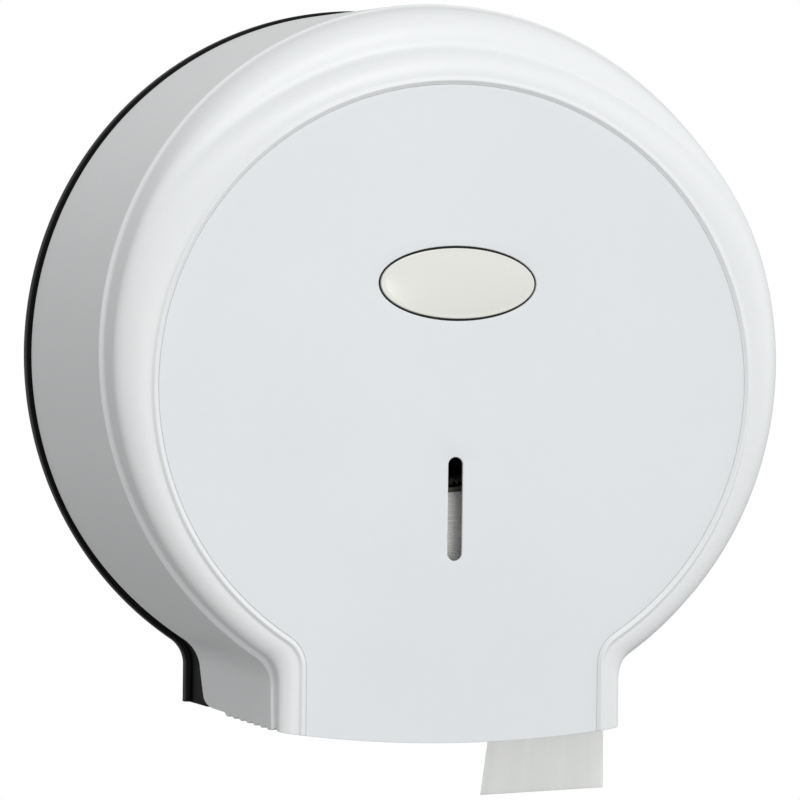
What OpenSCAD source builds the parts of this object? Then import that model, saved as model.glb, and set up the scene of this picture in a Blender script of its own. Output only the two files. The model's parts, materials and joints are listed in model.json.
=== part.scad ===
// Wall-mounted dispenser for one jumbo toilet roll.
// A black back plate carries the roll on a spindle. A white drum-shaped cover hinges at
// the foot of the plate's neck and is held shut by a key lock in its roof.
// X runs to the right, Z up and Y into the wall. The origin is the drum's centre on the wall.
// "Depth" is the distance from the wall into the room, which is along -Y.

/* [Paper roll] */
// Radius of a full paper roll
roll_r = 105; // [90:1:112]
// Width of the paper roll
roll_w = 95; // [85:1:105]
// Outer radius of the roll's cardboard core
core_r = 38; // [30:0.5:42]
// Thickness of the cardboard core
core_t = 1.6; // [1:0.1:2.5]
// Height of the drum's centre above the roll's axis
roll_drop = 12; // [8:0.5:14]
// Free space round the roll inside the drum
roll_room = 26.4; // [24:0.1:40]
// Free space between the roll and the cover's front wall
front_room = 6.6; // [6:0.1:20]

/* [Paper tail] */
// How far the tail's front corner hangs below the side walls
tail_drop = 24.3; // [15:0.1:26]
// How much further the tail's rear corner hangs than its front corner
tail_slant = 11.6; // [4:0.1:16]
// How far the tail's rear edge leans away from the side wall
tail_lean = 16.4; // [13:0.1:24]
// Thickness of the tail, two plies with the air between them
tail_t = 0.4; // [0.3:0.05:0.6]

/* [Cover shell] */
// Thickness of the cover's walls
wall = 2.8; // [2.4:0.1:3.4]
// How much smaller the drum's radius is at its rear edge than at its lip
drum_draft = 0.4; // [0.1:0.1:0.6]
// Depth of the rounded ring, from the lip to the front face, at the drum's centre height
ring_depth = 18; // [14:0.5:20]
// Width of the ring at the drum's sides
ring_side = 16.4; // [14:0.2:22]
// Width of the ring at the top
ring_top = 30.4; // [22:0.2:36]
// Lean of the lip's plane, top towards the wall, in degrees
lip_tilt = 4.25; // [2:0.25:4.75]
// Width of the chamfer where the ring leaves the lip
lip_step = 1.8; // [0.4:0.1:2]
// Depth of the cover's rear edge
rear_gap = 7.6; // [6.8:0.1:9]
// Height below the drum's centre at which the rear edge starts to curve forward
relief_drop = 55; // [45:1:70]
// Radius of that curve
relief_r = 169; // [164:1:240]

/* [Neck] */
// Width of the paper exit between the side walls
exit_w = 132.4; // [128:0.2:140]
// Radius of the outer fillet between the drum and the neck
neck_fillet = 12; // [8:0.5:18]
// How far the side walls reach below the drum
neck_below = 4.5; // [4:0.1:10]
// How far the chin of the front wall hangs below the side walls
chin_bulge = 5.1; // [3:0.1:6]
// Number of rounded tear teeth along each side wall's lower edge
tooth_count = 7; // [3:1:8]
// Length of one tear tooth
tooth_pitch = 9; // [6:0.5:9]
// Height of one tear tooth
tooth_h = 1.3; // [0.8:0.1:1.8]

/* [Face panel] */
// Thickness of the panel
panel_t = 2.2; // [2:0.1:3]
// Gap between the panel's edge and the ring
panel_gap = 0.5; // [0.3:0.05:0.8]
// Height of the drum's centre above the centre of the panel's oval
panel_drop = 9; // [6:0.5:12]
// Width of the ring beside the neck
ring_neck = 9.7; // [7:0.1:12]
// Radius of the fillet between the panel's oval and its neck
panel_fillet = 14; // [8:0.5:24]
// Radius of the posts on the panel's back
post_r = 3.5; // [3:0.1:4.5]

/* [Sight slot] */
// Width of the slot
slot_w = 5.8; // [5:0.2:8]
// Length of the slot
slot_l = 39; // [30:1:50]
// Height of the drum's centre above the slot's top
slot_drop = 36.4; // [34:0.2:44]

/* [Badge] */
// Width of the oval badge
badge_w = 60.8; // [50:0.2:66]
// Height of the oval badge
badge_h = 26.4; // [22:0.2:32]
// Height of the badge's centre above the drum's centre
badge_z = 28.7; // [20:0.1:40]
// Thickness of the badge's edge
badge_t = 1.4; // [1:0.1:2]
// Rise of the badge's crowned face above its edge
badge_crown = 0.8; // [0.4:0.1:1.4]
// Width of the dark border left round the badge
badge_border = 0.9; // [0.5:0.1:1.4]
// Thickness of the dark backing under the badge
backing_t = 0.6; // [0.4:0.1:0.8]
// Half the distance between the badge's two studs
stud_x = 18; // [12:1:22]

/* [Back plate] */
// Thickness of the plate's floor
plate_t = 3; // [2.6:0.1:4]
// How far the plate's rim stands outside the drum
plate_reveal = 0.8; // [0.4:0.1:1.5]
// Depth of the plate's rim
rim_depth = 6; // [5:0.1:6.4]
// Step from the rim in to the skirt that meets the cover
skirt_step = 1.9; // [1.2:0.1:2.4]
// Thickness of the skirt
skirt_t = 2.6; // [2:0.1:3.4]
// Gap between the skirt and the cover's rear edge
joint_gap = 0.5; // [0.4:0.05:0.9]
// Depth of the rib that centres the closed cover
spigot_depth = 12; // [10:0.5:14]
// Horizontal distance between the wall holes
hole_span_x = 120; // [100:1:140]
// Vertical distance between the wall holes
hole_span_z = 120; // [100:1:140]
// Radius of the wall holes
hole_r = 3; // [2.2:0.1:3.4]
// Height of the pads under the bracket and the catch
pad_t = 3; // [2.8:0.1:4]

/* [Spindle] */
// Radius of the steel axle
axle_r = 5; // [4:0.5:6]
// Thickness of the bracket's flange
flange_t = 3; // [2.4:0.1:4]
// Radius of the bracket's flange
flange_r = 30; // [26:1:36]
// Length of the bracket's boss in front of its flange
boss_l = 4; // [3:0.5:8]
// Thickness of the bushes
bush_t = 2; // [1.5:0.25:3]
// Length of the axle that runs inside the hub
hub_run = 59.6; // [50:0.2:70]
// Thickness of the hub's outer ring
hub_ring_t = 3; // [2:0.25:4]
// Radius of the hub's rear flange
hub_flange_r = 48; // [44:1:60]
// Number of ribs inside the hub
hub_ribs = 6; // [3:1:10]

/* [Hinge] */
// Depth of the hinge's axis
hinge_depth = 34; // [33:0.5:36]
// Height of the hinge's axis above the side walls' lower edge
hinge_up = 7.2; // [7:0.1:8]
// Radius of the hinge pins
pin_r = 2.5; // [2:0.1:2.8]
// Thickness of the ears that carry the pins
ear_t = 3.2; // [2.6:0.1:3.6]
// Length of the hinge bosses inside the cover's side walls
hinge_boss_l = 4; // [3:0.1:4.4]

/* [Lock] */
// Depth of the lock's axis
lock_depth = 30; // [29:0.5:34]
// Radius of the lock's barrel
barrel_r = 9; // [7.5:0.1:9.2]
// Length of the barrel below its head
barrel_l = 19.6; // [17:0.2:21]
// Radius of the turning plug
plug_r = 6; // [5:0.1:6.5]
// Reach of the cam from the lock's axis
cam_reach = 17; // [15:0.5:18]
// Width of the cam's arm
cam_w = 9; // [7:0.5:10]
// Thickness of the cam
cam_t = 2.2; // [1.6:0.1:3]

/* [Clearances] */
// Radial clearance of a running fit
run_clear = 0.05; // [0.02:0.01:0.1]
// Radial clearance of a tight fit
tight_clear = 0.01; // [0.005:0.005:0.02]
// End float of the hub on its axle
end_float = 0.2; // [0.1:0.05:0.4]
// Clearance between paper or card and its neighbours
paper_clear = 0.4; // [0.3:0.05:0.6]
// Clearance between moving plastic pieces
part_clear = 0.4; // [0.3:0.05:0.6]

/* [Hidden] */
$fn = 96;
ARC_STEPS = 72;     // steps round the drum's large arc in the cover's skin
FILLET_STEPS = 6;   // steps round each neck fillet
RING_STEPS = 8;     // steps across the rounded ring
REAR_SPARE = 2;     // how far the skin starts behind the rear edge that is cut from it
BIG = 400;          // larger than any cut needs to be

// Colours
BLACK_ABS = "#1c1c1e";
WHITE_ABS = "#e9ecec";
PANEL_WHITE = "#e1e4e7";
BADGE_WHITE = "#e2e3dc";
PAPER = "#dcdcd6";
CARD = "#a08d76";
STEEL = "#b4b7ba";
CHROME = "#cfd2d4";
BRASS = "#b79a5b";
NYLON = "#e6e2d6";

// Screws and small hardware
screw_r = 1.75;
screw_head_r = 3.6;
screw_head_h = 2.2;
screw_skin = 1.4;          // floor left under a blind screw hole
bush_flange_t = 1.5;
bush_flange_r = 9.5;
bush_l = 10;
washer_t = 1.5;
washer_r = 9.5;
retainer_r = 2.5;
retainer_head_r = 5.5;
retainer_head_h = 3.5;
retainer_l = 14;
axle_head_r = 9;
axle_head_t = 2;
panel_screw_r = 1.4;
panel_screw_head_r = 5;
panel_screw_head_h = 2;
stud_r = 1.5;
push_nut_r = 4.5;
push_nut_t = 0.8;
cam_screw_r = 1.5;
cam_screw_head_r = 4;
cam_screw_head_h = 2.2;

// Depths of the spindle's stack, from the wall forward
pad_front = plate_t + pad_t;
flange_front = pad_front + flange_t;
boss_front = flange_front + boss_l;
hub_back = boss_front + end_float + bush_flange_t;
hub_flange_t = 2.5;
roll_back = hub_back + hub_flange_t + paper_clear + 0.2;
roll_front = roll_back + roll_w;
barrel_front = hub_back + hub_run;
axle_front = barrel_front + bush_flange_t + end_float;
hub_front = roll_front - 5;
roll_z = -roll_drop;
hub_r = core_r - core_t - paper_clear;
hub_bore_r = axle_r + bush_t;
hub_barrel_r = hub_bore_r + 3;
pad_r = flange_r + 6;
bracket_screw_pcr = flange_r - 7;

// The cover's main sizes
drum_in_r = roll_r + roll_room;
drum_r = drum_in_r + wall;
neck_in = exit_w / 2;
neck_out = neck_in + wall;
front_in = roll_front + front_room;
panel_back = front_in + wall;
face_depth = panel_back + panel_t;
lip_depth = face_depth - ring_depth;
side_drop = drum_r + neck_below;
chin_drop = side_drop + chin_bulge;
chin_r = (neck_out * neck_out + chin_bulge * chin_bulge) / (2 * chin_bulge);
skin_low = -chin_drop - 6;

// The panel's oval
oval_rx = drum_r - ring_side;
oval_rz = drum_r - ring_top + panel_drop;
oval_z = -panel_drop;
oval_neck = neck_out - ring_neck;

// The hinge
hinge_z = -side_drop + hinge_up;
ear_r = pin_r + 2;
hinge_boss_r = pin_r + 2.4;
boss_x = neck_in - hinge_boss_l;
ear_out = boss_x - part_clear;
ear_in = ear_out - ear_t;
pin_end = neck_out - 1.6;
tooth_end = front_in - 0.6;
tooth_start = tooth_end - tooth_count * tooth_pitch;

// The back plate
plate_r = drum_r + plate_reveal;
plate_neck = neck_out + 0.3;
plate_low = -side_drop + 1.7;
skirt_r = plate_r - skirt_step;
skirt_neck = plate_neck - skirt_step;
spigot_r = drum_in_r - drum_draft - part_clear;
spigot_t = 2;
hole_boss_r = hole_r + 5.5;
hole_boss_h = 2;

// The lock, from its head down
lock_face = drum_r - drum_draft - 0.6;
lock_head_t = 1.6;
lock_head_r = barrel_r + 2;
lock_seat = lock_face - lock_head_t;
lock_boss_r = barrel_r + 4;
lock_boss_low = drum_in_r - 5.4;
lock_nut_t = 3;
lock_nut_r = barrel_r + 3.2;
barrel_low = lock_seat - barrel_l;
plug_low = barrel_low - 1.2;
cam_low = plug_low - cam_t;
cam_hub_r = plug_r + 2;

// The catch stands beside the cam's swing, with its hook in front of the locked cam
catch_t = 3;
catch_x = cam_reach + 0.8;
hook_x = barrel_r + 1;
hook_depth = lock_depth + cam_w / 2 + part_clear;
catch_mid = cam_low + cam_t / 2;
catch_h = 10;
catch_foot_w = 14;
catch_foot_h = 20;
catch_foot_t = 2.5;
catch_screw_x = catch_x + catch_t + 6.5;
catch_screw_gap = 10;

// The tail's bend, where it comes over the neck's corner, and its lower corners
tail_front = roll_front - 1.8;
tail_back = roll_back;
tail_wall_gap = 0.7;
bend_front = [neck_in - 1.6, -side_drop + 26.7];
bend_back = [ear_in - 1.6, -side_drop + 23.7];
end_front = [neck_in - tail_wall_gap, -side_drop - tail_drop];
end_back = [neck_in - tail_wall_gap - tail_lean, -side_drop - tail_drop - tail_slant];
TAIL_BEND_STEPS = 6;
TAIL_BEND_REACH = 9;

// Posts that carry the panel, as [x, z]
POST_SIDE = 0.68;
POST_RISE = 30;
POST_INSET = 6;
POST_DROP = 50;
posts = [[oval_rx * POST_SIDE, POST_RISE], [oval_neck - POST_INSET, -side_drop + POST_DROP]];

// ---------- general helpers ----------

// Extrudes an XZ outline from one depth to another.
module slab(from, to) {
    translate([0, -from, 0]) rotate([90, 0, 0]) linear_extrude(to - from) children();
}

// A rod along the depth axis.
module depth_rod(x, z, from, to, r) {
    translate([x, -from, z]) rotate([90, 0, 0]) cylinder(h = to - from, r = r);
}

// A rod along X.
module cross_rod(x0, x1, depth, z, r) {
    translate([x0, -depth, z]) rotate([0, 90, 0]) cylinder(h = x1 - x0, r = r);
}

// Extrudes a [depth, height] outline across X.
module across(x0, x1) {
    translate([x1, 0, 0]) rotate([0, 0, -90]) rotate([90, 0, 0]) linear_extrude(x1 - x0) children();
}

// The same piece on the right and mirrored to the left.
module both_sides() {
    children();
    mirror([1, 0, 0]) children();
}

function mix(a, b, t) = a + (b - a) * t;
function smooth(t) = let(c = min(max(t, 0), 1)) c * c * (3 - 2 * c);

// Points of an oval outline.
function oval(rx, rz, steps = 72) = [for (i = [0:steps - 1]) [rx * cos(360 * i / steps), rz * sin(360 * i / steps)]];

// A closed solid through a stack of loops that all have the same number of points.
// Each loop is a list of [x, y, z], and its faces are split into triangles.
module loft(loops) {
    n = len(loops[0]);
    last = len(loops) - 1;
    sides = [for (k = [0:last - 1]) for (i = [0:n - 1])
        let(a = k * n + i, b = k * n + (i + 1) % n, c = a + n, d = b + n)
        each [[a, d, b], [a, c, d]]];
    bottom = [for (i = [0:n - 1]) i];
    top = [for (i = [0:n - 1]) last * n + n - 1 - i];
    polyhedron(points = [for (l = loops) each l], faces = concat([bottom, top], sides), convexity = 6);
}

// ---------- outlines of the drum with its neck ----------

// Angle below the horizontal at which a fillet meets a drum of radius r.
function junction(r, half, fillet) = acos((half + fillet) / (r + fillet));

// Exact outline: a circle with a neck below it, joined by fillets.
module neck_shape(r, half, fillet, low) {
    j = junction(r, half, fillet);
    centre = [half + fillet, -(r + fillet) * sin(j)];
    circle(r, $fn = 180);
    translate([-half, low]) square([2 * half, -low]);
    for (side = [1, -1]) difference() {
        polygon([[0, 0], [0, centre[1]], [side * centre[0], centre[1]]]);
        translate([side * centre[0], centre[1]]) circle(fillet);
    }
}

// The same outline as a list of points, counter-clockwise from the lower right.
function neck_points(r, half, fillet, low) =
    let(j = junction(r, half, fillet), cx = half + fillet, cz = -(r + fillet) * sin(j))
    concat(
        [[half, low]],
        [for (i = [0:FILLET_STEPS - 1]) let(a = 180 - j * i / FILLET_STEPS)
            [cx + fillet * cos(a), cz + fillet * sin(a)]],
        [for (i = [0:ARC_STEPS]) let(a = mix(-j, 180 + j, i / ARC_STEPS)) [r * cos(a), r * sin(a)]],
        [for (i = [FILLET_STEPS - 1:-1:0]) let(a = j * i / FILLET_STEPS)
            [-cx + fillet * cos(a), cz + fillet * sin(a)]],
        [[-half, low]]);

// Eccentric angle at which a fillet of the given radius joins an oval to a neck,
// found by halving the interval between 0 and 90 degrees.
function oval_join(rx, rz, half, fillet, lo = 0, hi = 90, n = 24) =
    let(t = (lo + hi) / 2, d = norm([rz * cos(t), rx * sin(t)]),
        x = rx * cos(t) + fillet * rz * cos(t) / d)
    n == 0 ? t
    : x > half + fillet ? oval_join(rx, rz, half, fillet, t, hi, n - 1)
    : oval_join(rx, rz, half, fillet, lo, t, n - 1);

// Outline of an oval centred at height zc, with a neck below it, point for point like neck_points.
function oval_neck_points(rx, rz, zc, half, fillet, low) =
    let(t = oval_join(rx, rz, half, fillet), d = norm([rz * cos(t), rx * sin(t)]),
        j = atan2(rx * sin(t), rz * cos(t)),
        cx = half + fillet, cz = zc - rz * sin(t) - fillet * rx * sin(t) / d)
    concat(
        [[half, low]],
        [for (i = [0:FILLET_STEPS - 1]) let(a = 180 - j * i / FILLET_STEPS)
            [cx + fillet * cos(a), cz + fillet * sin(a)]],
        [for (i = [0:ARC_STEPS]) let(a = mix(-t, 180 + t, i / ARC_STEPS)) [rx * cos(a), zc + rz * sin(a)]],
        [for (i = [FILLET_STEPS - 1:-1:0]) let(a = j * i / FILLET_STEPS)
            [-cx + fillet * cos(a), cz + fillet * sin(a)]],
        [[-half, low]]);

// Outline of the panel's seat, shrunk by the given inset.
function panel_points(inset = 0) =
    oval_neck_points(oval_rx - inset, oval_rz - inset, oval_z, oval_neck - inset,
                     panel_fillet + inset, skin_low);

// ---------- the cover's skin ----------

// Depth of the lip at height z.
function lip_at(z) = lip_depth - z * tan(lip_tilt);

// Share of the ring's width and depth covered at step s. At the sides it is one
// rounded curve. At the top it is a rounded shoulder, then a bead round the panel.
function side_curve(s) = [1 - cos(90 * s), sin(90 * s)];
function top_curve(s) = s <= 0.5
    ? [0.58 * (1 - cos(180 * s)), 0.66 * sin(180 * s)]
    : let(a = mix(30, 90, 2 * s - 1))
      [mix(0.58, 1, 1 - cos(a) / cos(30)), mix(0.66, 1, 2 * sin(a) - 1)];
function ring_curve(s, z) =
    let(t = smooth((z / drum_r - 0.55) / 0.4)) mix(side_curve(s), top_curve(s), t);

// One point of the ring between the lip's point and the panel's point. The ring can
// start ahead of the lip, nearer to the wall, to keep the shell's wall under the chamfer.
function ring_point(lip, inner, front, s, ahead = 0) =
    let(c = ring_curve(s, lip[1]), start = lip_at(lip[1]) - ahead)
    [mix(lip[0], inner[0], c[0]), -mix(start, front, c[1]), mix(lip[1], inner[1], c[0])];

// Loops of one side of the skin, from its rear over the lip to a front face.
function skin_loops(rear, lip, inner, front, ahead = 0) = concat(
    [[for (p = rear) [p[0], -rear_gap + REAR_SPARE, p[1]]]],
    [[for (p = lip) [p[0], ahead - lip_at(p[1]), p[1]]]],
    [for (k = [1:RING_STEPS]) [for (i = [0:len(lip) - 1])
        ring_point(lip[i], inner[i], front, k / RING_STEPS, ahead)]]);

// Loops of the inside, from the rear to the back of the front wall.
function inside_loops() =
    let(low = skin_low + wall, edge = 0.6 * wall,
        rear = neck_points(drum_in_r - drum_draft, neck_in - drum_draft, neck_fillet + wall, low),
        lip = neck_points(drum_in_r, neck_in, neck_fillet + wall, low),
        inner = oval_neck_points(oval_rx - edge, oval_rz - edge, oval_z, oval_neck - edge,
                                 panel_fillet + wall, low))
    skin_loops(rear, lip, inner, front_in, lip_step);

// Loops of the outside, from the rear over the lip's chamfer to the panel's edge.
function outside_loops() =
    let(rear = neck_points(drum_r - drum_draft, neck_out - drum_draft, neck_fillet + drum_draft, skin_low),
        lip = neck_points(drum_r, neck_out, neck_fillet, skin_low),
        step = neck_points(drum_r - lip_step, neck_out - lip_step, neck_fillet + lip_step, skin_low),
        ends = skin_loops(rear, lip, panel_points(), face_depth))
    concat(
        [ends[0], ends[1], [for (p = step) [p[0], -lip_at(p[1]) - lip_step, p[1]]]],
        [for (k = [1:RING_STEPS]) [for (i = [0:len(step) - 1])
            ring_point(step[i], panel_points()[i], face_depth, max(k / RING_STEPS, 0.16))]]);

// The whole shell as one skin: from the back of the front wall to the rear, and forward
// over the outside to the panel's seat. Its floor lies below what the profile keeps.
module skin() {
    inside = inside_loops();
    loft(concat([for (i = [len(inside) - 1:-1:0]) inside[i]], outside_loops(),
                [[for (p = panel_points()) [p[0], -panel_back, p[1]]]]));
}

// Depth of the cover's rear edge at height z.
function rear_edge(z) = z > -relief_drop ? rear_gap
    : rear_gap + relief_r - sqrt(relief_r * relief_r - pow(z + relief_drop, 2));

// Height of the side walls' plain lower edge at a depth.
function side_edge(depth) = -side_drop + mix(2.1, tooth_h, (depth - hinge_depth) / (front_in - hinge_depth));

// What is kept of the skin, seen from the side: the curved rear edge, a corner
// rounded about the hinge, the toothed lower edge and the front wall below it.
module side_profile() {
    corner_z = hinge_z - 0.5;
    corner = [[rear_edge(corner_z), corner_z], [rear_edge(corner_z) + 1.4, hinge_z - 2.9],
              [hinge_depth - 2.6, side_edge(hinge_depth) + 0.9], [hinge_depth + 9, side_edge(hinge_depth + 9)]];
    teeth = [for (i = [0:tooth_count - 1]) for (j = [0:5])
        let(d = tooth_start + tooth_pitch * (i + j / 6)) [d, side_edge(d) - tooth_h * sin(30 * j)]];
    polygon(concat(
        [[rear_gap, BIG]],
        [for (i = [0:12]) let(z = mix(-relief_drop, corner_z + 0.1, i / 12)) [rear_edge(z), z]],
        corner, teeth,
        [[tooth_end, side_edge(tooth_end)], [tooth_end, -BIG], [BIG, -BIG], [BIG, BIG]]));
}

// Everything above the chin's curve.
module above_chin() {
    depth_rod(0, chin_r - chin_drop, -1, BIG, chin_r, $fn = 360);
}

module slot_cut(from, to) {
    top = -slot_drop - slot_w / 2;
    low = -slot_drop - slot_l + slot_w / 2;
    translate([-slot_w / 2, -to, low]) cube([slot_w, to - from, top - low]);
    for (z = [top, low]) depth_rod(0, z, from, to, slot_w / 2);
}

module at_posts() {
    for (p = posts) for (side = [1, -1]) translate([side * p[0], 0, p[1]]) children();
}

module at_studs() {
    for (side = [1, -1]) translate([side * stud_x, 0, badge_z]) children();
}

module front_cover() {
    color(WHITE_ABS) difference() {
        union() {
            intersection() {
                skin();
                across(-BIG, BIG) side_profile();
                above_chin();
            }
            both_sides() cross_rod(boss_x, neck_in + wall / 2, hinge_depth, hinge_z, hinge_boss_r);
            translate([0, -lock_depth, lock_boss_low])
                cylinder(h = drum_in_r + wall / 2 - lock_boss_low, r = lock_boss_r);
        }
        both_sides() cross_rod(boss_x - 1, pin_end + 0.3, hinge_depth, hinge_z, pin_r + run_clear);
        translate([0, -lock_depth, lock_boss_low - 1]) cylinder(h = BIG, r = barrel_r + tight_clear);
        translate([0, -lock_depth, lock_seat]) cylinder(h = BIG, r = lock_head_r + 0.2);
        slot_cut(front_in - 1, BIG);
        at_posts() depth_rod(0, 0, front_in - 1, BIG, post_r + 0.3);
        at_studs() depth_rod(0, 0, front_in - 1, BIG, stud_r + 0.3);
    }
}

module face_panel() {
    color(PANEL_WHITE) difference() {
        union() {
            intersection() {
                slab(panel_back + 0.01, face_depth) polygon(panel_points(panel_gap));
                above_chin();
            }
            at_posts() depth_rod(0, 0, front_in, panel_back + 1, post_r);
        }
        slot_cut(front_in - 1, BIG);
        translate([0, 0, badge_z]) slab(face_depth - badge_t - 0.2, BIG)
            polygon(oval(badge_w / 2 + badge_border, badge_h / 2 + badge_border));
        at_studs() depth_rod(0, 0, front_in, BIG, stud_r + 0.3);
        at_posts() depth_rod(0, 0, front_in - 1, panel_back + 0.8, panel_screw_r);
    }
}

module panel_screws() {
    color(STEEL) at_posts() difference() {
        union() {
            depth_rod(0, 0, front_in - panel_screw_head_h, front_in, panel_screw_head_r);
            depth_rod(0, 0, front_in - 0.5, panel_back + 0.6, panel_screw_r - tight_clear);
        }
        for (a = [0, 90]) translate([0, -front_in + panel_screw_head_h - 0.4, 0]) rotate([0, a, 0])
            cube([5, 2, 1], center = true);
    }
}

// ---------- badge ----------

badge_seat = face_depth - badge_t - 0.2;
badge_back = badge_seat + backing_t;

module badge_plate() {
    edge = badge_back + badge_t;
    loops = concat(
        [[for (p = oval(badge_w / 2, badge_h / 2)) [p[0], -badge_back, badge_z + p[1]]]],
        [for (s = [1, 0.97, 0.85, 0.65, 0.35]) let(rise = badge_crown * (1 - s * s))
            [for (p = oval(s * badge_w / 2, s * badge_h / 2)) [p[0], -edge - rise, badge_z + p[1]]]]);
    color(BADGE_WHITE) {
        loft(loops);
        at_studs() depth_rod(0, 0, front_in - push_nut_t - 1, badge_back + 0.5, stud_r);
    }
}

module badge_backing() {
    color(BLACK_ABS) difference() {
        translate([0, 0, badge_z]) slab(badge_seat, badge_back)
            polygon(oval(badge_w / 2 + badge_border - 0.05, badge_h / 2 + badge_border - 0.05));
        at_studs() depth_rod(0, 0, badge_seat - 1, badge_back + 1, stud_r + tight_clear);
    }
}

module badge_push_nuts() {
    color(STEEL) at_studs() difference() {
        depth_rod(0, 0, front_in - push_nut_t, front_in, push_nut_r);
        depth_rod(0, 0, front_in - push_nut_t - 1, front_in + 1, stud_r + tight_clear);
    }
}

// ---------- back plate ----------

// The skirt seen from the side: it follows the cover's rear edge at a constant gap.
module skirt_profile() {
    polygon(concat(
        [[plate_t - 1, BIG]], [[rear_gap - joint_gap, BIG]],
        [for (i = [0:12]) let(z = mix(-relief_drop, plate_low, i / 12)) [rear_edge(z) - joint_gap, z]],
        [[rear_edge(plate_low) - joint_gap, -BIG], [plate_t - 1, -BIG]]));
}

module hinge_ear() {
    across(ear_in, ear_out) {
        translate([hinge_depth, hinge_z]) circle(ear_r);
        polygon([[plate_t - 1, hinge_z - ear_r + 0.2], [hinge_depth, hinge_z - ear_r],
                 [hinge_depth, hinge_z + ear_r], [plate_t - 1, hinge_z + ear_r + 3]]);
    }
}

module screw_hole(x, z, front) {
    depth_rod(x, z, screw_skin, front, screw_r);
}

module catch_pad_shape() {
    translate([-catch_x - catch_foot_w, catch_mid - catch_foot_h / 2]) square([catch_foot_w, catch_foot_h]);
}

module at_catch_screws() {
    for (s = [1, -1]) translate([-catch_screw_x, 0, catch_mid + s * catch_screw_gap / 2]) children();
}

module at_bracket_screws() {
    for (a = [45:90:315])
        translate([bracket_screw_pcr * cos(a), 0, roll_z + bracket_screw_pcr * sin(a)]) children();
}

module back_plate() {
    color(BLACK_ABS) difference() {
        union() {
            slab(0, plate_t) neck_shape(plate_r, plate_neck, neck_fillet, plate_low);
            slab(0, rim_depth) difference() {
                neck_shape(plate_r, plate_neck, neck_fillet, plate_low);
                neck_shape(skirt_r - skirt_t, skirt_neck - skirt_t, neck_fillet + 1, plate_low - 10);
            }
            intersection() {
                slab(plate_t - 1, BIG) difference() {
                    neck_shape(skirt_r, skirt_neck, neck_fillet + 1, plate_low);
                    neck_shape(skirt_r - skirt_t, skirt_neck - skirt_t, neck_fillet + 1, plate_low - 10);
                }
                across(-BIG, BIG) skirt_profile();
            }
            intersection() {
                difference() {
                    depth_rod(0, 0, plate_t - 1, spigot_depth, spigot_r, $fn = 180);
                    depth_rod(0, 0, 0, BIG, spigot_r - spigot_t, $fn = 180);
                }
                translate([-BIG, -BIG, 0]) cube([2 * BIG, 2 * BIG, BIG]);
            }
            depth_rod(0, roll_z, plate_t - 1, pad_front, pad_r);
            slab(plate_t - 1, pad_front) catch_pad_shape();
            both_sides() hinge_ear();
            stiffening_ribs();
            for (x = [-1, 1]) for (z = [-1, 1])
                depth_rod(x * hole_span_x / 2, z * hole_span_z / 2, plate_t - 1, plate_t + hole_boss_h, hole_boss_r);
        }
        for (x = [-1, 1]) for (z = [-1, 1])
            depth_rod(x * hole_span_x / 2, z * hole_span_z / 2, -1, BIG, hole_r);
        both_sides() cross_rod(ear_in - 1, ear_out + 1, hinge_depth, hinge_z, pin_r + tight_clear);
        at_bracket_screws() screw_hole(0, 0, pad_front + 1);
        at_catch_screws() screw_hole(0, 0, pad_front + 1);
        depth_rod(0, roll_z, pad_front - axle_head_t - tight_clear, pad_front + 1, axle_head_r + 0.2);
    }
}

// Ribs moulded on the plate's front, from the bracket's pad out to the skirt.
module stiffening_ribs() {
    rib_w = 2;
    intersection() {
        slab(plate_t - 1, plate_t + hole_boss_h) {
            for (a = [0:45:315]) translate([0, roll_z]) rotate(a)
                translate([pad_r - 1, -rib_w / 2]) square([plate_r, rib_w]);
            difference() {
                circle(pad_r + 34);
                circle(pad_r + 32);
            }
        }
        depth_rod(0, 0, 0, BIG, skirt_r - skirt_t + 1);
    }
}

// ---------- spindle ----------

// A pan-head screw that bears at a depth and points at the wall.
module wood_screw(bearing, tip) {
    difference() {
        union() {
            depth_rod(0, 0, bearing, bearing + screw_head_h, screw_head_r);
            depth_rod(0, 0, tip, bearing + 0.5, screw_r - tight_clear);
        }
        for (a = [0, 90]) translate([0, -bearing - screw_head_h, 0]) rotate([0, a, 0])
            cube([4, 2, 0.9], center = true);
    }
}

module spindle_bracket() {
    color(BLACK_ABS) difference() {
        union() {
            depth_rod(0, roll_z, pad_front, flange_front, flange_r);
            depth_rod(0, roll_z, flange_front - 1, boss_front, axle_r + 6);
            for (a = [0:90:270]) translate([0, 0, roll_z]) rotate([0, a, 0])
                translate([axle_r + 5, -boss_front + 1.5, -1.2]) cube([8, boss_front - 1.5 - pad_front, 2.4]);
        }
        depth_rod(0, roll_z, 0, BIG, axle_r + tight_clear);
        at_bracket_screws() depth_rod(0, 0, 0, BIG, screw_r + 0.2);
    }
}

module bracket_screws() {
    color(STEEL) at_bracket_screws() wood_screw(flange_front, screw_skin + 0.3);
}

module axle() {
    color(STEEL) difference() {
        union() {
            depth_rod(0, roll_z, pad_front - axle_head_t, pad_front, axle_head_r);
            depth_rod(0, roll_z, pad_front - 0.5, axle_front, axle_r);
        }
        depth_rod(0, roll_z, axle_front - retainer_l - 1, axle_front + 1, retainer_r);
    }
}

module axle_washer() {
    color(STEEL) difference() {
        depth_rod(0, roll_z, axle_front, axle_front + washer_t, washer_r);
        depth_rod(0, roll_z, 0, BIG, retainer_r + 0.1);
    }
}

module retainer_screw() {
    bearing = axle_front + washer_t;
    color(STEEL) difference() {
        union() {
            depth_rod(0, roll_z, bearing, bearing + retainer_head_h, retainer_head_r);
            depth_rod(0, roll_z, axle_front - retainer_l, bearing + 0.5, retainer_r - tight_clear);
        }
        translate([0, -bearing - retainer_head_h, roll_z]) rotate([90, 0, 0])
            cylinder(h = 4, r = 2.9, center = true, $fn = 6);
    }
}

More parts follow.
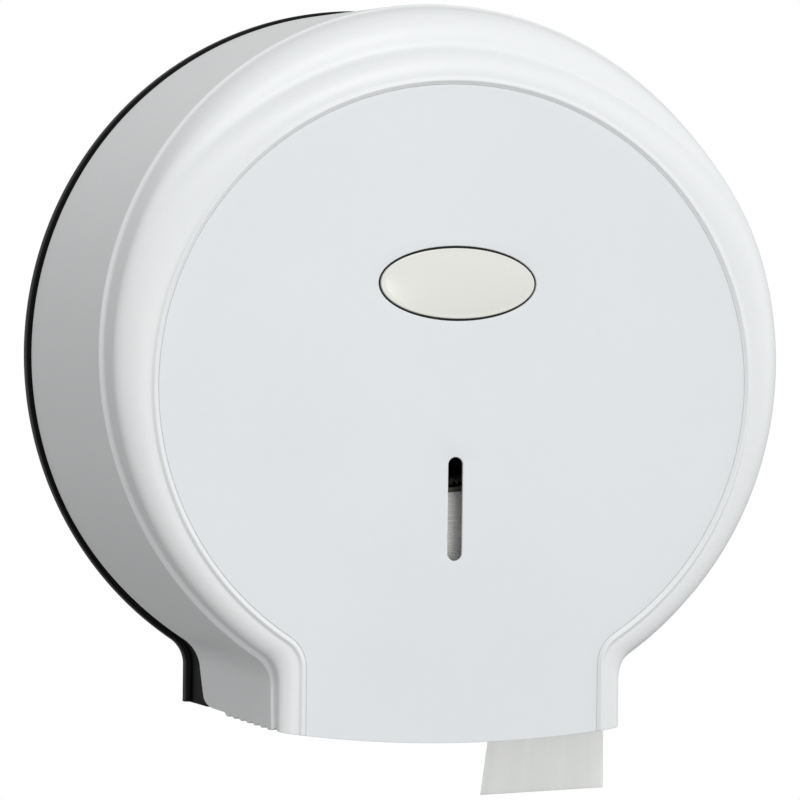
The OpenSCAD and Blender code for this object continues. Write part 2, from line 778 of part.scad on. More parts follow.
module roll_hub() {
    color(BLACK_ABS) difference() {
        union() {
            depth_rod(0, roll_z, hub_back, barrel_front, hub_barrel_r);
            depth_rod(0, roll_z, hub_back, hub_back + hub_flange_t, hub_flange_r);
            difference() {
                depth_rod(0, roll_z, hub_back, hub_front, hub_r);
                depth_rod(0, roll_z, hub_back + hub_flange_t, BIG, hub_r - hub_ring_t);
            }
            for (i = [0:hub_ribs - 1]) translate([0, 0, roll_z]) rotate([0, 360 * i / hub_ribs, 0])
                translate([hub_barrel_r - 1, -barrel_front + 6, -1])
                    cube([hub_r - hub_ring_t - hub_barrel_r + 2, hub_run - 7, 2]);
        }
        depth_rod(0, roll_z, 0, BIG, hub_bore_r);
    }
}

// A flanged bush with its flange on the outside of the hub.
module bush(from, to, flange_from, flange_to) {
    color(NYLON) difference() {
        union() {
            depth_rod(0, roll_z, from, to, hub_bore_r - tight_clear);
            depth_rod(0, roll_z, flange_from, flange_to, bush_flange_r);
        }
        depth_rod(0, roll_z, from - 1, to + 1, axle_r + run_clear);
    }
}

module hub_bush_rear() {
    bush(hub_back - bush_flange_t, hub_back + bush_l, hub_back - bush_flange_t, hub_back);
}

module hub_bush_front() {
    bush(barrel_front - bush_l, barrel_front + bush_flange_t, barrel_front, barrel_front + bush_flange_t);
}

// ---------- paper ----------

module roll_core() {
    color(CARD) difference() {
        depth_rod(0, roll_z, roll_back, roll_front, core_r);
        depth_rod(0, roll_z, 0, BIG, core_r - core_t);
    }
}

module paper_roll() {
    color(PAPER) difference() {
        depth_rod(0, roll_z, roll_back, roll_front, roll_r, $fn = 180);
        depth_rod(0, roll_z, 0, BIG, core_r + tight_clear);
    }
}

function unit(v) = v / norm(v);

// Where a line through a point below the roll touches the roll's right side.
function leave_point(p) =
    let(r = roll_r + paper_clear, d = p - [0, roll_z], a = atan2(d[1], d[0]) + acos(r / norm(d)))
    [r * cos(a), roll_z + r * sin(a)];

// Path of one edge of the tail: straight off the roll, round the bend, straight down.
function tail_path(bend, end) =
    let(start = leave_point(bend), a = bend + TAIL_BEND_REACH * unit(start - bend),
        b = bend + TAIL_BEND_REACH * unit(end - bend))
    concat([start], [for (i = [0:TAIL_BEND_STEPS]) let(t = i / TAIL_BEND_STEPS)
        mix(mix(a, bend, t), mix(bend, b, t), t)], [end]);

// Points of a path moved sideways by half the paper's thickness.
function shifted(path, by) = [for (i = [0:len(path) - 1])
    let(d = unit(path[min(i + 1, len(path) - 1)] - path[max(i - 1, 0)])) path[i] + by * [d[1], -d[0]]];

// The paper's two faces are cut along the same diagonals, so that they never cross.
module paper_tail() {
    front = tail_path(bend_front, end_front);
    back = tail_path(bend_back, end_back);
    edges = [[tail_front, shifted(front, tail_t / 2)], [tail_front, shifted(front, -tail_t / 2)],
             [tail_back, shifted(back, -tail_t / 2)], [tail_back, shifted(back, tail_t / 2)]];
    points = [for (i = [0:len(front) - 1]) for (e = edges) [e[1][i][0], -e[0], e[1][i][1]]];
    last = 4 * (len(front) - 1);
    faces = concat(
        [[0, 1, 2], [0, 2, 3], [last, last + 2, last + 1], [last, last + 3, last + 2]],
        [for (k = [0:len(front) - 2]) for (i = [0:3])
            let(a = 4 * k + i, b = 4 * k + (i + 1) % 4)
            each i == 1 ? [[a, a + 4, b], [b, a + 4, b + 4]] : [[a, b + 4, b], [a, a + 4, b + 4]]]);
    color(PAPER) polyhedron(points = points, faces = faces);
}

// ---------- hinge pins ----------

module hinge_pin_right() {
    color(STEEL) cross_rod(ear_in - 0.4, pin_end, hinge_depth, hinge_z, pin_r);
}

module hinge_pin_left() {
    mirror([1, 0, 0]) hinge_pin_right();
}

// ---------- lock and catch ----------

// A round piece on the lock's axis between two heights.
module lock_rod(low, high, r) {
    translate([0, -lock_depth, low]) cylinder(h = high - low, r = r);
}

module lock_barrel() {
    color(CHROME) difference() {
        union() {
            lock_rod(barrel_low, lock_seat + 0.5, barrel_r);
            lock_rod(lock_seat, lock_face, lock_head_r);
        }
        lock_rod(barrel_low - 1, BIG, plug_r + run_clear);
    }
}

module lock_nut() {
    color(STEEL) difference() {
        translate([0, -lock_depth, lock_boss_low - lock_nut_t]) cylinder(h = lock_nut_t, r = lock_nut_r, $fn = 6);
        lock_rod(0, BIG, barrel_r + tight_clear);
    }
}

module lock_plug() {
    color(BRASS) difference() {
        lock_rod(plug_low, lock_face - 0.3, plug_r);
        translate([0, -lock_depth, lock_face]) cube([1.4, 7, 6], center = true);
        lock_rod(plug_low - 1, plug_low + 8, cam_screw_r);
    }
}

module lock_cam() {
    color(STEEL) difference() {
        union() {
            lock_rod(cam_low, plug_low, cam_hub_r);
            intersection() {
                translate([-cam_w / 2, -lock_depth, cam_low]) cube([cam_w, cam_reach, cam_t]);
                lock_rod(cam_low, plug_low, cam_reach);
            }
        }
        lock_rod(0, BIG, cam_screw_r + 0.1);
    }
}

module cam_screw() {
    color(STEEL) difference() {
        union() {
            lock_rod(cam_low - cam_screw_head_h, cam_low, cam_screw_head_r);
            lock_rod(cam_low - 0.5, plug_low + 7.5, cam_screw_r - tight_clear);
        }
        for (a = [0, 90]) translate([0, -lock_depth, cam_low - cam_screw_head_h]) rotate([0, 0, a])
            cube([5, 0.9, 2], center = true);
    }
}

module latch_catch() {
    side = -catch_x - catch_t;
    color(STEEL) difference() {
        union() {
            slab(pad_front, pad_front + catch_foot_t) catch_pad_shape();
            translate([side, -hook_depth - catch_t, catch_mid - catch_h / 2])
                cube([catch_t, hook_depth + catch_t - pad_front, catch_h]);
            translate([side, -hook_depth - catch_t, catch_mid - catch_h / 2])
                cube([catch_x + catch_t - hook_x, catch_t, catch_h]);
        }
        at_catch_screws() depth_rod(0, 0, 0, BIG, screw_r + 0.2);
    }
}

module catch_screws() {
    color(STEEL) at_catch_screws() wood_screw(pad_front + catch_foot_t, screw_skin + 0.3);
}

back_plate();
spindle_bracket();
bracket_screws();
axle();
axle_washer();
retainer_screw();
latch_catch();
catch_screws();
hinge_pin_left();
hinge_pin_right();
paper_tail();
roll_hub();
hub_bush_rear();
hub_bush_front();
roll_core();
paper_roll();
front_cover();
face_panel();
panel_screws();
badge_plate();
badge_backing();
badge_push_nuts();
lock_barrel();
lock_nut();
lock_plug();
lock_cam();
cam_screw();
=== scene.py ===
"""Wall-mounted dispenser for one jumbo toilet roll: fine shapes and finishes.

A white drum-shaped cover with a flat face panel closes over a black back plate, a spindle
and a roll of tissue. Sizes are millimetres. "Depth" is the distance from the wall into the
room, X runs to the right and Z runs up. Points are arrays of (x, depth, z) until a mesh is made.
"""
import json
import logging
from abc import ABC, abstractmethod
from dataclasses import dataclass, field, replace
from enum import Enum
from typing import Optional, Sequence

import bmesh
import bpy
import numpy as np
from mathutils import Matrix, Vector

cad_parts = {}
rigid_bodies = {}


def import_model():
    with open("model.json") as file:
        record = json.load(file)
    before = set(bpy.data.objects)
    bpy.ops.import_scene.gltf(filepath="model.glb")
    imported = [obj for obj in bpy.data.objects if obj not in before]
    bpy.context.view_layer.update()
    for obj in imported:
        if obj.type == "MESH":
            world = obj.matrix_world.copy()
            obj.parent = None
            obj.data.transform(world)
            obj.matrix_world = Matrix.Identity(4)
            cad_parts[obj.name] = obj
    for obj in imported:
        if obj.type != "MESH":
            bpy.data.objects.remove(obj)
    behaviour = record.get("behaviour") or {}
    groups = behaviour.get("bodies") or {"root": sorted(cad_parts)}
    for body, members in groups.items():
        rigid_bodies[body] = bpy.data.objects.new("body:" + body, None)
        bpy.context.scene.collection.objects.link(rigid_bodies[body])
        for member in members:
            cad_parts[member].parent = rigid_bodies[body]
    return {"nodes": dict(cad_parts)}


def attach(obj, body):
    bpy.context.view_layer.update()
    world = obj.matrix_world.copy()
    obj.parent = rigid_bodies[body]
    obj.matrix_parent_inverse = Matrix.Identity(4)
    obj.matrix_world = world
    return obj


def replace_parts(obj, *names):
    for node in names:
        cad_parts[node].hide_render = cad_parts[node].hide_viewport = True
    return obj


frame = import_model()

LOG = logging.getLogger("dispenser")
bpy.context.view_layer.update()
MM = 0.001
TURN = 6.2832        # radians in a whole turn, for the shaders' angles and waves
HALVINGS = 40        # steps in which an angle is found by halving
SETTLINGS = 4        # rounds in which a lower edge and a depth that need each other are found

Array = np.ndarray
Socket = bpy.types.NodeSocket


class Body(Enum):
    """The frame's bodies, by name; a carried piece rides on the one that its node has."""

    ROOT = "root"
    ROLL = "roll"
    COVER = "cover"
    LOCK = "lock"


# ---------------------------------------------------------------- shader graphs


class Graph:
    """A node tree with short calls for adding nodes and linking their sockets."""

    def __init__(self, tree: bpy.types.NodeTree) -> None:
        """Start on an empty tree.

        Args:
            tree: the material's or the group's node tree; its nodes are cleared.
        """
        self.tree = tree
        tree.nodes.clear()

    def add(self, kind: str, inputs: Optional[dict] = None, **settings: object) -> bpy.types.Node:
        """Add a node, set it up and feed its inputs.

        Args:
            kind: the node's type, without the word ShaderNode in front.
            inputs: value or source socket for each input, by name or number.
            **settings: attributes of the node.

        Returns:
            The new node.
        """
        node = self.tree.nodes.new(kind if kind.startswith("Node") else "ShaderNode" + kind)
        for name, value in settings.items():
            setattr(node, name, value)
        for key, value in (inputs or {}).items():
            self.feed(node.inputs[key], value)
        return node

    def feed(self, target: Socket, value: object) -> None:
        """Link a socket to a target, or set the target's own value.

        Args:
            target: the input socket.
            value: an output socket, a number, a vector or a colour.
        """
        if isinstance(value, bpy.types.NodeSocket):
            self.tree.links.new(value, target)
        else:
            target.default_value = value

    def math(self, operation: str, *values: object, clamp: bool = False) -> Socket:
        """Return the result of a Math node.

        Args:
            operation: the node's operation, such as MULTIPLY.
            *values: numbers or sockets for its inputs.
            clamp: whether the result is kept from 0 to 1.
        """
        node = self.add("Math", dict(enumerate(values)), operation=operation, use_clamp=clamp)
        return node.outputs[0]

    def remap(self, value: object, low: float, high: float,
              to_low: float = 0.0, to_high: float = 1.0) -> Socket:
        """Return a value moved smoothly from one range to another and clamped there.

        Args:
            value: number or socket to remap.
            low: value that gives to_low.
            high: value that gives to_high.
            to_low: result at low.
            to_high: result at high.
        """
        inputs = {"Value": value, "From Min": low, "From Max": high, "To Min": to_low, "To Max": to_high}
        return self.add("MapRange", inputs, interpolation_type="SMOOTHSTEP").outputs[0]

    def weigh(self, a: object, a_share: object, b: object, b_share: object, clamp: bool = False) -> Socket:
        """Return a times its share plus b times its share.

        Args:
            a: first number or socket.
            a_share: what the first is multiplied by.
            b: second number or socket.
            b_share: what the second is multiplied by.
            clamp: whether the result is kept from 0 to 1.
        """
        first, second = self.math("MULTIPLY", a, a_share), self.math("MULTIPLY", b, b_share)
        return self.math("ADD", first, second, clamp=clamp)

    def mix(self, factor: object, a: object, b: object) -> Socket:
        """Return the mix of two colours.

        Args:
            factor: share of b, from 0 to 1.
            a: first colour.
            b: second colour.
        """
        node = self.add("Mix", data_type="RGBA")
        for number, value in ((0, factor), (6, a), (7, b)):
            self.feed(node.inputs[number], value)
        return node.outputs[2]

    def place(self, origin: Sequence[float] = (0, 0, 0), scale: Sequence[float] = (1, 1, 1)) -> Socket:
        """Return object coordinates about an origin in metres, stretched by a scale.

        Args:
            origin: point that becomes the middle of the pattern.
            scale: factor on each axis.
        """
        coordinates = self.add("TexCoord").outputs["Object"]
        centred = self.add("VectorMath", {0: coordinates, 1: origin}, operation="SUBTRACT").outputs[0]
        return self.stretch(centred, scale)

    def stretch(self, vector: Socket, scale: Sequence[float]) -> Socket:
        """Return a vector times a factor on each axis."""
        return self.add("VectorMath", {0: vector, 1: scale}, operation="MULTIPLY").outputs[0]

    def noise(self, vector: object, scale: object, detail: float = 3.0, roughness: float = 0.5) -> Socket:
        """Return a noise value from 0 to 1.

        Args:
            vector: coordinates of the pattern.
            scale: how many blobs there are in a metre.
            detail: number of finer layers.
            roughness: strength of the finer layers.
        """
        inputs = {"Vector": vector, "Scale": scale, "Detail": detail, "Roughness": roughness}
        return self.add("TexNoise", inputs).outputs["Fac"]

    def bump(self, height: Socket, normal: Optional[Socket] = None) -> Socket:
        """Return the normal that a height in metres gives, on top of a given normal where there is one."""
        inputs = {"Height": height, "Distance": 1.0}
        if normal is not None:
            inputs["Normal"] = normal
        return self.add("Bump", inputs).outputs[0]


class NodeGroup:
    """A shader node group with named inputs and outputs, built once and shared."""

    _built: dict[str, bpy.types.NodeTree] = {}

    @classmethod
    def start(cls, name: str, inputs: dict[str, object], outputs: dict[str, str]) -> tuple[Graph, dict, dict]:
        """Make an empty group with its sockets.

        Args:
            name: the group's name.
            inputs: default of each input; a tuple of four numbers is a colour, one of three a vector.
            outputs: socket kind of each output.

        Returns:
            The graph, its input sockets and its output sockets, by name.
        """
        tree = bpy.data.node_groups.new(name, "ShaderNodeTree")
        graph = Graph(tree)
        for label, default in inputs.items():
            count = len(default) if isinstance(default, tuple) else 1
            kind = {1: "NodeSocketFloat", 3: "NodeSocketVector", 4: "NodeSocketColor"}[count]
            tree.interface.new_socket(label, in_out="INPUT", socket_type=kind).default_value = default
        for label, kind in outputs.items():
            tree.interface.new_socket(label, in_out="OUTPUT", socket_type=kind)
        source, target = graph.add("NodeGroupInput"), graph.add("NodeGroupOutput")
        cls._built[name] = tree
        return graph, {k: source.outputs[k] for k in inputs}, {k: target.inputs[k] for k in outputs}

    @classmethod
    def use(cls, graph: Graph, name: str, inputs: dict[str, object]) -> bpy.types.Node:
        """Place a built group in a graph.

        Args:
            graph: where the group goes.
            name: the group's name.
            inputs: a value or a socket for each input that isn't left at its default.
        """
        node = graph.add("Group", node_tree=cls._built[name])
        for key, value in inputs.items():
            graph.feed(node.inputs[key], value)
        return node


def build_tone_drift() -> None:
    """Build the group that drifts a colour and a gloss slowly over a surface.

    Color goes from the base to the shade by a broad noise and a finer one, weighed three to
    one. Gloss is the same broad noise about a given roughness.
    """
    graph, given, made = NodeGroup.start(
        "tone_drift",
        {"Vector": (0.0, 0.0, 0.0), "Color": (0.8, 0.8, 0.8, 1.0), "Shade": (0.7, 0.7, 0.7, 1.0),
         "Scale": 12.0, "Amount": 0.5, "Roughness": 0.4, "Spread": 0.05},
        {"Color": "NodeSocketColor", "Gloss": "NodeSocketFloat"})
    broad = graph.noise(given["Vector"], given["Scale"], 2.0)
    fine = graph.noise(given["Vector"], graph.math("MULTIPLY", given["Scale"], 14.0), 3.0)
    both = graph.weigh(broad, 0.75, fine, 0.25)
    share = graph.math("MULTIPLY", graph.remap(both, 0.3, 0.7), given["Amount"], clamp=True)
    graph.feed(made["Color"], graph.mix(share, given["Color"], given["Shade"]))
    swing = graph.math("MULTIPLY", graph.math("SUBTRACT", broad, 0.5), given["Spread"])
    graph.feed(made["Gloss"], graph.math("ADD", given["Roughness"], swing))


def build_moulded_grain() -> None:
    """Build the group for the skin of moulded plastic.

    Height is fine pits over a slow ripple, given in millimetres and put out in metres.
    """
    graph, given, made = NodeGroup.start(
        "moulded_grain",
        {"Vector": (0.0, 0.0, 0.0), "Scale": 2600.0, "Depth": 0.004, "Ripple": 0.01},
        {"Height": "NodeSocketFloat"})
    pits = graph.noise(given["Vector"], given["Scale"], 2.0, 0.6)
    slow = graph.noise(given["Vector"], 22.0, 1.0, 0.4)
    height = graph.weigh(pits, given["Depth"], slow, given["Ripple"])
    graph.feed(made["Height"], graph.math("MULTIPLY", height, MM))


def build_worn_edge() -> None:
    """Build the group that finds worn edges and softens them.

    Normal is the surface's normal rounded over the given radius, in metres. Mask is 1 minus
    the cosine between that normal and the flat one, broken up by a noise.
    """
    graph, given, made = NodeGroup.start(
        "worn_edge",
        {"Vector": (0.0, 0.0, 0.0), "Radius": 0.0005, "Amount": 1.0},
        {"Normal": "NodeSocketVector", "Mask": "NodeSocketFloat"})
    rounded = graph.add("Bevel", {"Radius": given["Radius"]}, samples=6).outputs[0]
    flat = graph.add("NewGeometry").outputs["Normal"]
    cosine = graph.add("VectorMath", {0: rounded, 1: flat}, operation="DOT_PRODUCT").outputs["Value"]
    turned = graph.remap(graph.math("SUBTRACT", 1.0, cosine), 0.01, 0.16)
    patchy = graph.remap(graph.noise(given["Vector"], 260.0, 3.0), 0.35, 0.65, 0.35, 1.0)
    graph.feed(made["Normal"], rounded)
    worn = graph.math("MULTIPLY", turned, patchy)
    graph.feed(made["Mask"], graph.math("MULTIPLY", worn, given["Amount"], clamp=True))


def build_settled_dust() -> None:
    """Build the group for dust: a mask that grows where the surface faces up and in sheltered corners."""
    graph, given, made = NodeGroup.start(
        "settled_dust", {"Vector": (0.0, 0.0, 0.0), "Amount": 0.3}, {"Mask": "NodeSocketFloat"})
    normal = graph.add("NewGeometry").outputs["Normal"]
    upward = graph.remap(graph.add("SeparateXYZ", {0: normal}).outputs["Z"], 0.2, 1.0)
    open_sky = graph.add("AmbientOcclusion", {"Distance": 0.012}, samples=6).outputs["AO"]
    corner = graph.remap(open_sky, 0.2, 0.8, 0.5, 0.0)
    patchy = graph.remap(graph.noise(given["Vector"], 90.0, 4.0, 0.6), 0.3, 0.7, 0.3, 1.0)
    share = graph.math("MULTIPLY", graph.math("MAXIMUM", upward, corner), patchy)
    graph.feed(made["Mask"], graph.math("MULTIPLY", share, given["Amount"], clamp=True))


def build_tissue() -> None:
    """Build the group for tissue: crepe ridges, loose fibres and their tone.

    Height is given in millimetres and put out in metres. The ridges are a noise squeezed on
    the vector's second and third axes, so that they run along its first.
    """
    graph, given, made = NodeGroup.start(
        "tissue",
        {"Vector": (0.0, 0.0, 0.0), "Crepe": 0.03, "Fibre": 0.02},
        {"Height": "NodeSocketFloat", "Tone": "NodeSocketFloat"})
    squeezed = graph.stretch(given["Vector"], (1.0, 9.0, 9.0))
    ridges = graph.noise(squeezed, 320.0, 4.0, 0.6)
    fibres = graph.noise(given["Vector"], 1500.0, 3.0, 0.7)
    clouds = graph.noise(given["Vector"], 130.0, 3.0, 0.6)
    height = graph.weigh(ridges, given["Crepe"], fibres, given["Fibre"])
    graph.feed(made["Height"], graph.math("MULTIPLY", height, MM))
    graph.feed(made["Tone"], graph.remap(graph.weigh(ridges, 0.5, clouds, 0.5), 0.3, 0.7))


# ---------------------------------------------------------------- finishes


class Finish(ABC):
    """One finish, made into a material the first time that it is asked for."""

    name: str
    _made: dict[str, bpy.types.Material] = {}

    @abstractmethod
    def dress(self, graph: Graph, shader: bpy.types.Node) -> None:
        """Wire the finish's own nodes into the shader."""

    def shown(self, graph: Graph, shader: bpy.types.Node) -> Socket:
        """Return the shader socket that goes to the material's output."""
        return shader.outputs[0]

    def material(self) -> bpy.types.Material:
        """Return the finish's material."""
        if self.name not in Finish._made:
            material = bpy.data.materials.new(self.name)
            material.use_nodes = True
            graph = Graph(material.node_tree)
            shader = graph.add("BsdfPrincipled")
            output = graph.add("OutputMaterial")
            self.dress(graph, shader)
            graph.feed(output.inputs["Surface"], self.shown(graph, shader))
            Finish._made[self.name] = material
        return Finish._made[self.name]


@dataclass(frozen=True)
class MouldedPlastic(Finish):
    """Moulded plastic: a slow drift of tone, a fine skin, softened and rubbed edges, a little dust.

    Grain, ripple and the edges' radius are in millimetres, and the glow's reach in metres.
    """

    name: str
    colour: tuple[float, float, float]
    shade: tuple[float, float, float]
    roughness: float = 0.4
    specular: float = 0.5
    grain: float = 0.004
    ripple: float = 0.01
    edge_radius: float = 0.4
    edge_colour: tuple[float, float, float] = (0.9, 0.9, 0.9)
    edge_wear: float = 0.2
    dust: float = 0.1
    dust_colour: tuple[float, float, float] = (0.5, 0.48, 0.45)
    dust_rough: float = 0.4
    spread: float = 0.08
    glow: float = 0.0
    glow_reach: tuple[float, float, float] = (0.004, 0.0035, 0.003)

    def dress(self, graph: Graph, shader: bpy.types.Node) -> None:
        """Wire tone, wear, dust and grain into the shader."""
        place = graph.place()
        tone = NodeGroup.use(graph, "tone_drift", {
            "Vector": place, "Color": (*self.colour, 1), "Shade": (*self.shade, 1),
            "Roughness": self.roughness, "Spread": self.spread})
        edge = NodeGroup.use(graph, "worn_edge", {
            "Vector": place, "Radius": self.edge_radius * MM, "Amount": self.edge_wear})
        dust = NodeGroup.use(graph, "settled_dust", {"Vector": place, "Amount": self.dust})
        worn = graph.mix(edge.outputs["Mask"], tone.outputs["Color"], (*self.edge_colour, 1))
        dusty = graph.mix(dust.outputs["Mask"], worn, (*self.dust_colour, 1))
        graph.feed(shader.inputs["Base Color"], dusty)
        dulled = graph.math("MULTIPLY", dust.outputs["Mask"], self.dust_rough)
        rough = graph.math("ADD", tone.outputs["Gloss"], dulled, clamp=True)
        graph.feed(shader.inputs["Roughness"], rough)
        grain = NodeGroup.use(graph, "moulded_grain", {
            "Vector": place, "Depth": self.grain, "Ripple": self.ripple})
        graph.feed(shader.inputs["Normal"], graph.bump(grain.outputs["Height"], edge.outputs["Normal"]))
        shader.inputs["Specular IOR Level"].default_value = self.specular
        shader.inputs["Subsurface Weight"].default_value = self.glow
        shader.inputs["Subsurface Radius"].default_value = self.glow_reach
        shader.inputs["Subsurface Scale"].default_value = 1.0


@dataclass(frozen=True)
class Metal(Finish):
    """Plated or turned metal: fine tool marks along one axis, smudges in the gloss and paler edges."""

    name: str
    colour: tuple[float, float, float]
    shade: tuple[float, float, float]
    roughness: float = 0.25
    marks: tuple[float, float, float] = (1.0, 1.0, 1.0)
    mark_scale: float = 900.0
    mark_depth: float = 0.002
    smudge_scale: float = 60.0
    spread: float = 0.25
    edge_radius: float = 0.25
    edge_colour: tuple[float, float, float] = (0.9, 0.9, 0.9)
    edge_wear: float = 0.5

    def dress(self, graph: Graph, shader: bpy.types.Node) -> None:
        """Wire tone, tool marks and edges into the shader."""
        place = graph.place()
        tone = NodeGroup.use(graph, "tone_drift", {
            "Vector": place, "Color": (*self.colour, 1), "Shade": (*self.shade, 1),
            "Scale": self.smudge_scale, "Roughness": self.roughness, "Spread": self.spread})
        edge = NodeGroup.use(graph, "worn_edge", {
            "Vector": place, "Radius": self.edge_radius * MM, "Amount": self.edge_wear})
        bright = graph.mix(edge.outputs["Mask"], tone.outputs["Color"], (*self.edge_colour, 1))
        graph.feed(shader.inputs["Base Color"], bright)
        graph.feed(shader.inputs["Roughness"], tone.outputs["Gloss"])
        shader.inputs["Metallic"].default_value = 1.0
        lines = graph.noise(graph.place(scale=self.marks), self.mark_scale, 2.0)
        height = graph.math("MULTIPLY", lines, self.mark_depth * MM)
        graph.feed(shader.inputs["Normal"], graph.bump(height, edge.outputs["Normal"]))


@dataclass(frozen=True)
class RollTissue(Finish):
    """Wound tissue: layer lines on the roll's ends, and fine ridges and fibres all over.

    Lengths and depths are in millimetres, and the wander of the lines in layers.
    """

    name: str
    axis_z: float
    layer_gap: float = 0.62
    layer_wander: float = 3.0
    line_depth: float = 0.35
    crepe: float = 0.05
    fibre: float = 0.03
    colour: tuple[float, float, float] = (0.98, 0.98, 0.96)
    shade: tuple[float, float, float] = (0.86, 0.86, 0.84)

    def dress(self, graph: Graph, shader: bpy.types.Node) -> None:
        """Wire layer lines by the distance from the axis, and fibres, into the shader."""
        centred = graph.place(origin=(0, 0, self.axis_z * MM))
        radial = graph.stretch(centred, (1, 0, 1))
        radius = graph.add("VectorMath", {0: radial}, operation="LENGTH").outputs["Value"]
        layer = graph.math("DIVIDE", radius, self.layer_gap * MM)
        wander = graph.math("MULTIPLY", graph.noise(centred, 35.0, 3.0), self.layer_wander)
        wave = graph.math("SINE", graph.math("MULTIPLY", graph.math("ADD", layer, wander), TURN))
        thick = graph.noise(graph.add("CombineXYZ", {0: radius}).outputs[0], 420.0, 4.0, 0.7)
        normal = graph.add("NewGeometry").outputs["Normal"]
        facing = graph.math("ABSOLUTE", graph.add("SeparateXYZ", {0: normal}).outputs["Y"])
        ends = graph.remap(facing, 0.5, 0.9)
        lines = graph.math("MULTIPLY", graph.math("ADD", graph.math("MULTIPLY", wave, 0.25), thick), ends)
        tissue = NodeGroup.use(graph, "tissue", {"Vector": centred, "Crepe": self.crepe, "Fibre": self.fibre})
        tone = graph.weigh(graph.remap(lines, 0.75, 0.25), ends, tissue.outputs["Tone"], 0.4, clamp=True)
        graph.feed(shader.inputs["Base Color"], graph.mix(tone, (*self.colour, 1), (*self.shade, 1)))
        steps = graph.math("MULTIPLY", lines, self.line_depth * MM)
        height = graph.math("ADD", steps, tissue.outputs["Height"])
        graph.feed(shader.inputs["Normal"], graph.bump(height))
        shader.inputs["Roughness"].default_value = 0.95
        shader.inputs["Specular IOR Level"].default_value = 0.2
        shader.inputs["Sheen Weight"].default_value = 0.25
        shader.inputs["Sheen Roughness"].default_value = 0.6


@dataclass(frozen=True)
class SheetTissue(Finish):
    """A hanging strip of tissue: fine ridges, soft bands and much of its light from behind.

    The share of light from behind is from 0 to 1, and the depths are in millimetres.
    """

    name: str
    colour: tuple[float, float, float] = (0.98, 0.985, 0.97)
    shade: tuple[float, float, float] = (0.93, 0.94, 0.925)
    through: float = 0.85
    crepe: float = 0.05
    fibre: float = 0.02

    def dress(self, graph: Graph, shader: bpy.types.Node) -> None:
        """Wire ridges and fibres, read along the strip's own UV map, into the shader."""
        strip = graph.add("UVMap", uv_map="strip").outputs[0]
        metres = graph.stretch(strip, (0.1, 0.1, 0.1))
        tissue = NodeGroup.use(graph, "tissue", {"Vector": metres, "Crepe": self.crepe, "Fibre": self.fibre})
        streak = graph.stretch(strip, (0.02, 1.0, 1.0))
        bands = graph.remap(graph.noise(streak, 7.0, 4.0, 0.6), 0.35, 0.65)
        tone = graph.weigh(bands, 0.65, tissue.outputs["Tone"], 0.35)
        graph.feed(shader.inputs["Base Color"], graph.mix(tone, (*self.colour, 1), (*self.shade, 1)))
        graph.feed(shader.inputs["Normal"], graph.bump(tissue.outputs["Height"]))
        shader.inputs["Roughness"].default_value = 0.95
        shader.inputs["Specular IOR Level"].default_value = 0.2
        shader.inputs["Sheen Weight"].default_value = 0.2

    def shown(self, graph: Graph, shader: bpy.types.Node) -> Socket:
        """Return the shader mixed with the light that comes through the thin sheet from behind."""
        colour, normal = (shader.inputs[name].links[0].from_socket for name in ("Base Color", "Normal"))
        behind = graph.add("BsdfTranslucent", {"Color": colour, "Normal": normal})
        both = graph.add("MixShader", {0: self.through, 1: shader.outputs[0], 2: behind.outputs[0]})
        return both.outputs[0]


@dataclass(frozen=True)
class CoreBoard(Finish):
    """Grey-brown core board with flecks of pulp and a sunk spiral seam; lengths are in millimetres."""

    name: str
    axis_z: float
    seam_pitch: float = 60.0
    seam_depth: float = 0.15
    pulp_height: float = 0.03
    colour: tuple[float, float, float] = (0.135, 0.125, 0.105)
    shade: tuple[float, float, float] = (0.085, 0.078, 0.064)

    def dress(self, graph: Graph, shader: bpy.types.Node) -> None:
        """Wire the seam, by the angle round the axis and the depth, and the pulp into the shader."""
        centred = graph.place(origin=(0, 0, self.axis_z * MM))
        parts = graph.add("SeparateXYZ", {0: centred})
        angle = graph.math("ARCTAN2", parts.outputs["Z"], parts.outputs["X"])
        along = graph.math("DIVIDE", parts.outputs["Y"], self.seam_pitch * MM)
        turn = graph.math("FRACT", graph.math("ADD", graph.math("DIVIDE", angle, TURN), along))
        seam = graph.remap(graph.math("ABSOLUTE", graph.math("SUBTRACT", turn, 0.5)), 0.0, 0.015, 1.0, 0.0)
        pulp = graph.remap(graph.noise(centred, 700.0, 4.0, 0.7), 0.35, 0.65)
        share = graph.math("MAXIMUM", graph.math("MULTIPLY", pulp, 0.8), seam)
        graph.feed(shader.inputs["Base Color"], graph.mix(share, (*self.colour, 1), (*self.shade, 1)))
        height = graph.weigh(pulp, self.pulp_height * MM, seam, -self.seam_depth * MM)
        graph.feed(shader.inputs["Normal"], graph.bump(height))
        shader.inputs["Roughness"].default_value = 0.9
        shader.inputs["Specular IOR Level"].default_value = 0.25


ROLL_AXIS_Z = -12.0

COVER_WHITE = MouldedPlastic(
    "cover_white", (0.765, 0.78, 0.785), (0.735, 0.753, 0.76), roughness=0.42, specular=0.42,
    grain=0.002, ripple=0.006, edge_radius=0.35, edge_colour=(0.86, 0.87, 0.87), dust=0.03,
    dust_colour=(0.62, 0.62, 0.60), glow=0.06)
# The face panel's white is the cover's white made a little darker and bluer: the darker tone is painted shade
# on the flat panel.
PANEL_WHITE_SHADED = replace(
    COVER_WHITE, name="panel_white_shaded", colour=(0.734, 0.757, 0.771), shade=(0.70, 0.725, 0.74),
    roughness=0.46, specular=0.4, grain=0.003, dust=0.02, glow=0.05)
PLATE_BLACK = MouldedPlastic(
    "plate_black", (0.0022, 0.0022, 0.0025), (0.004, 0.004, 0.0044), specular=0.03, grain=0.006,
    ripple=0.008, edge_radius=0.5, edge_colour=(0.01, 0.01, 0.01), edge_wear=0.3, dust=0.02,
    dust_colour=(0.06, 0.058, 0.055))
RIM_BLACK = replace(PLATE_BLACK, name="rim_black", specular=0.09)
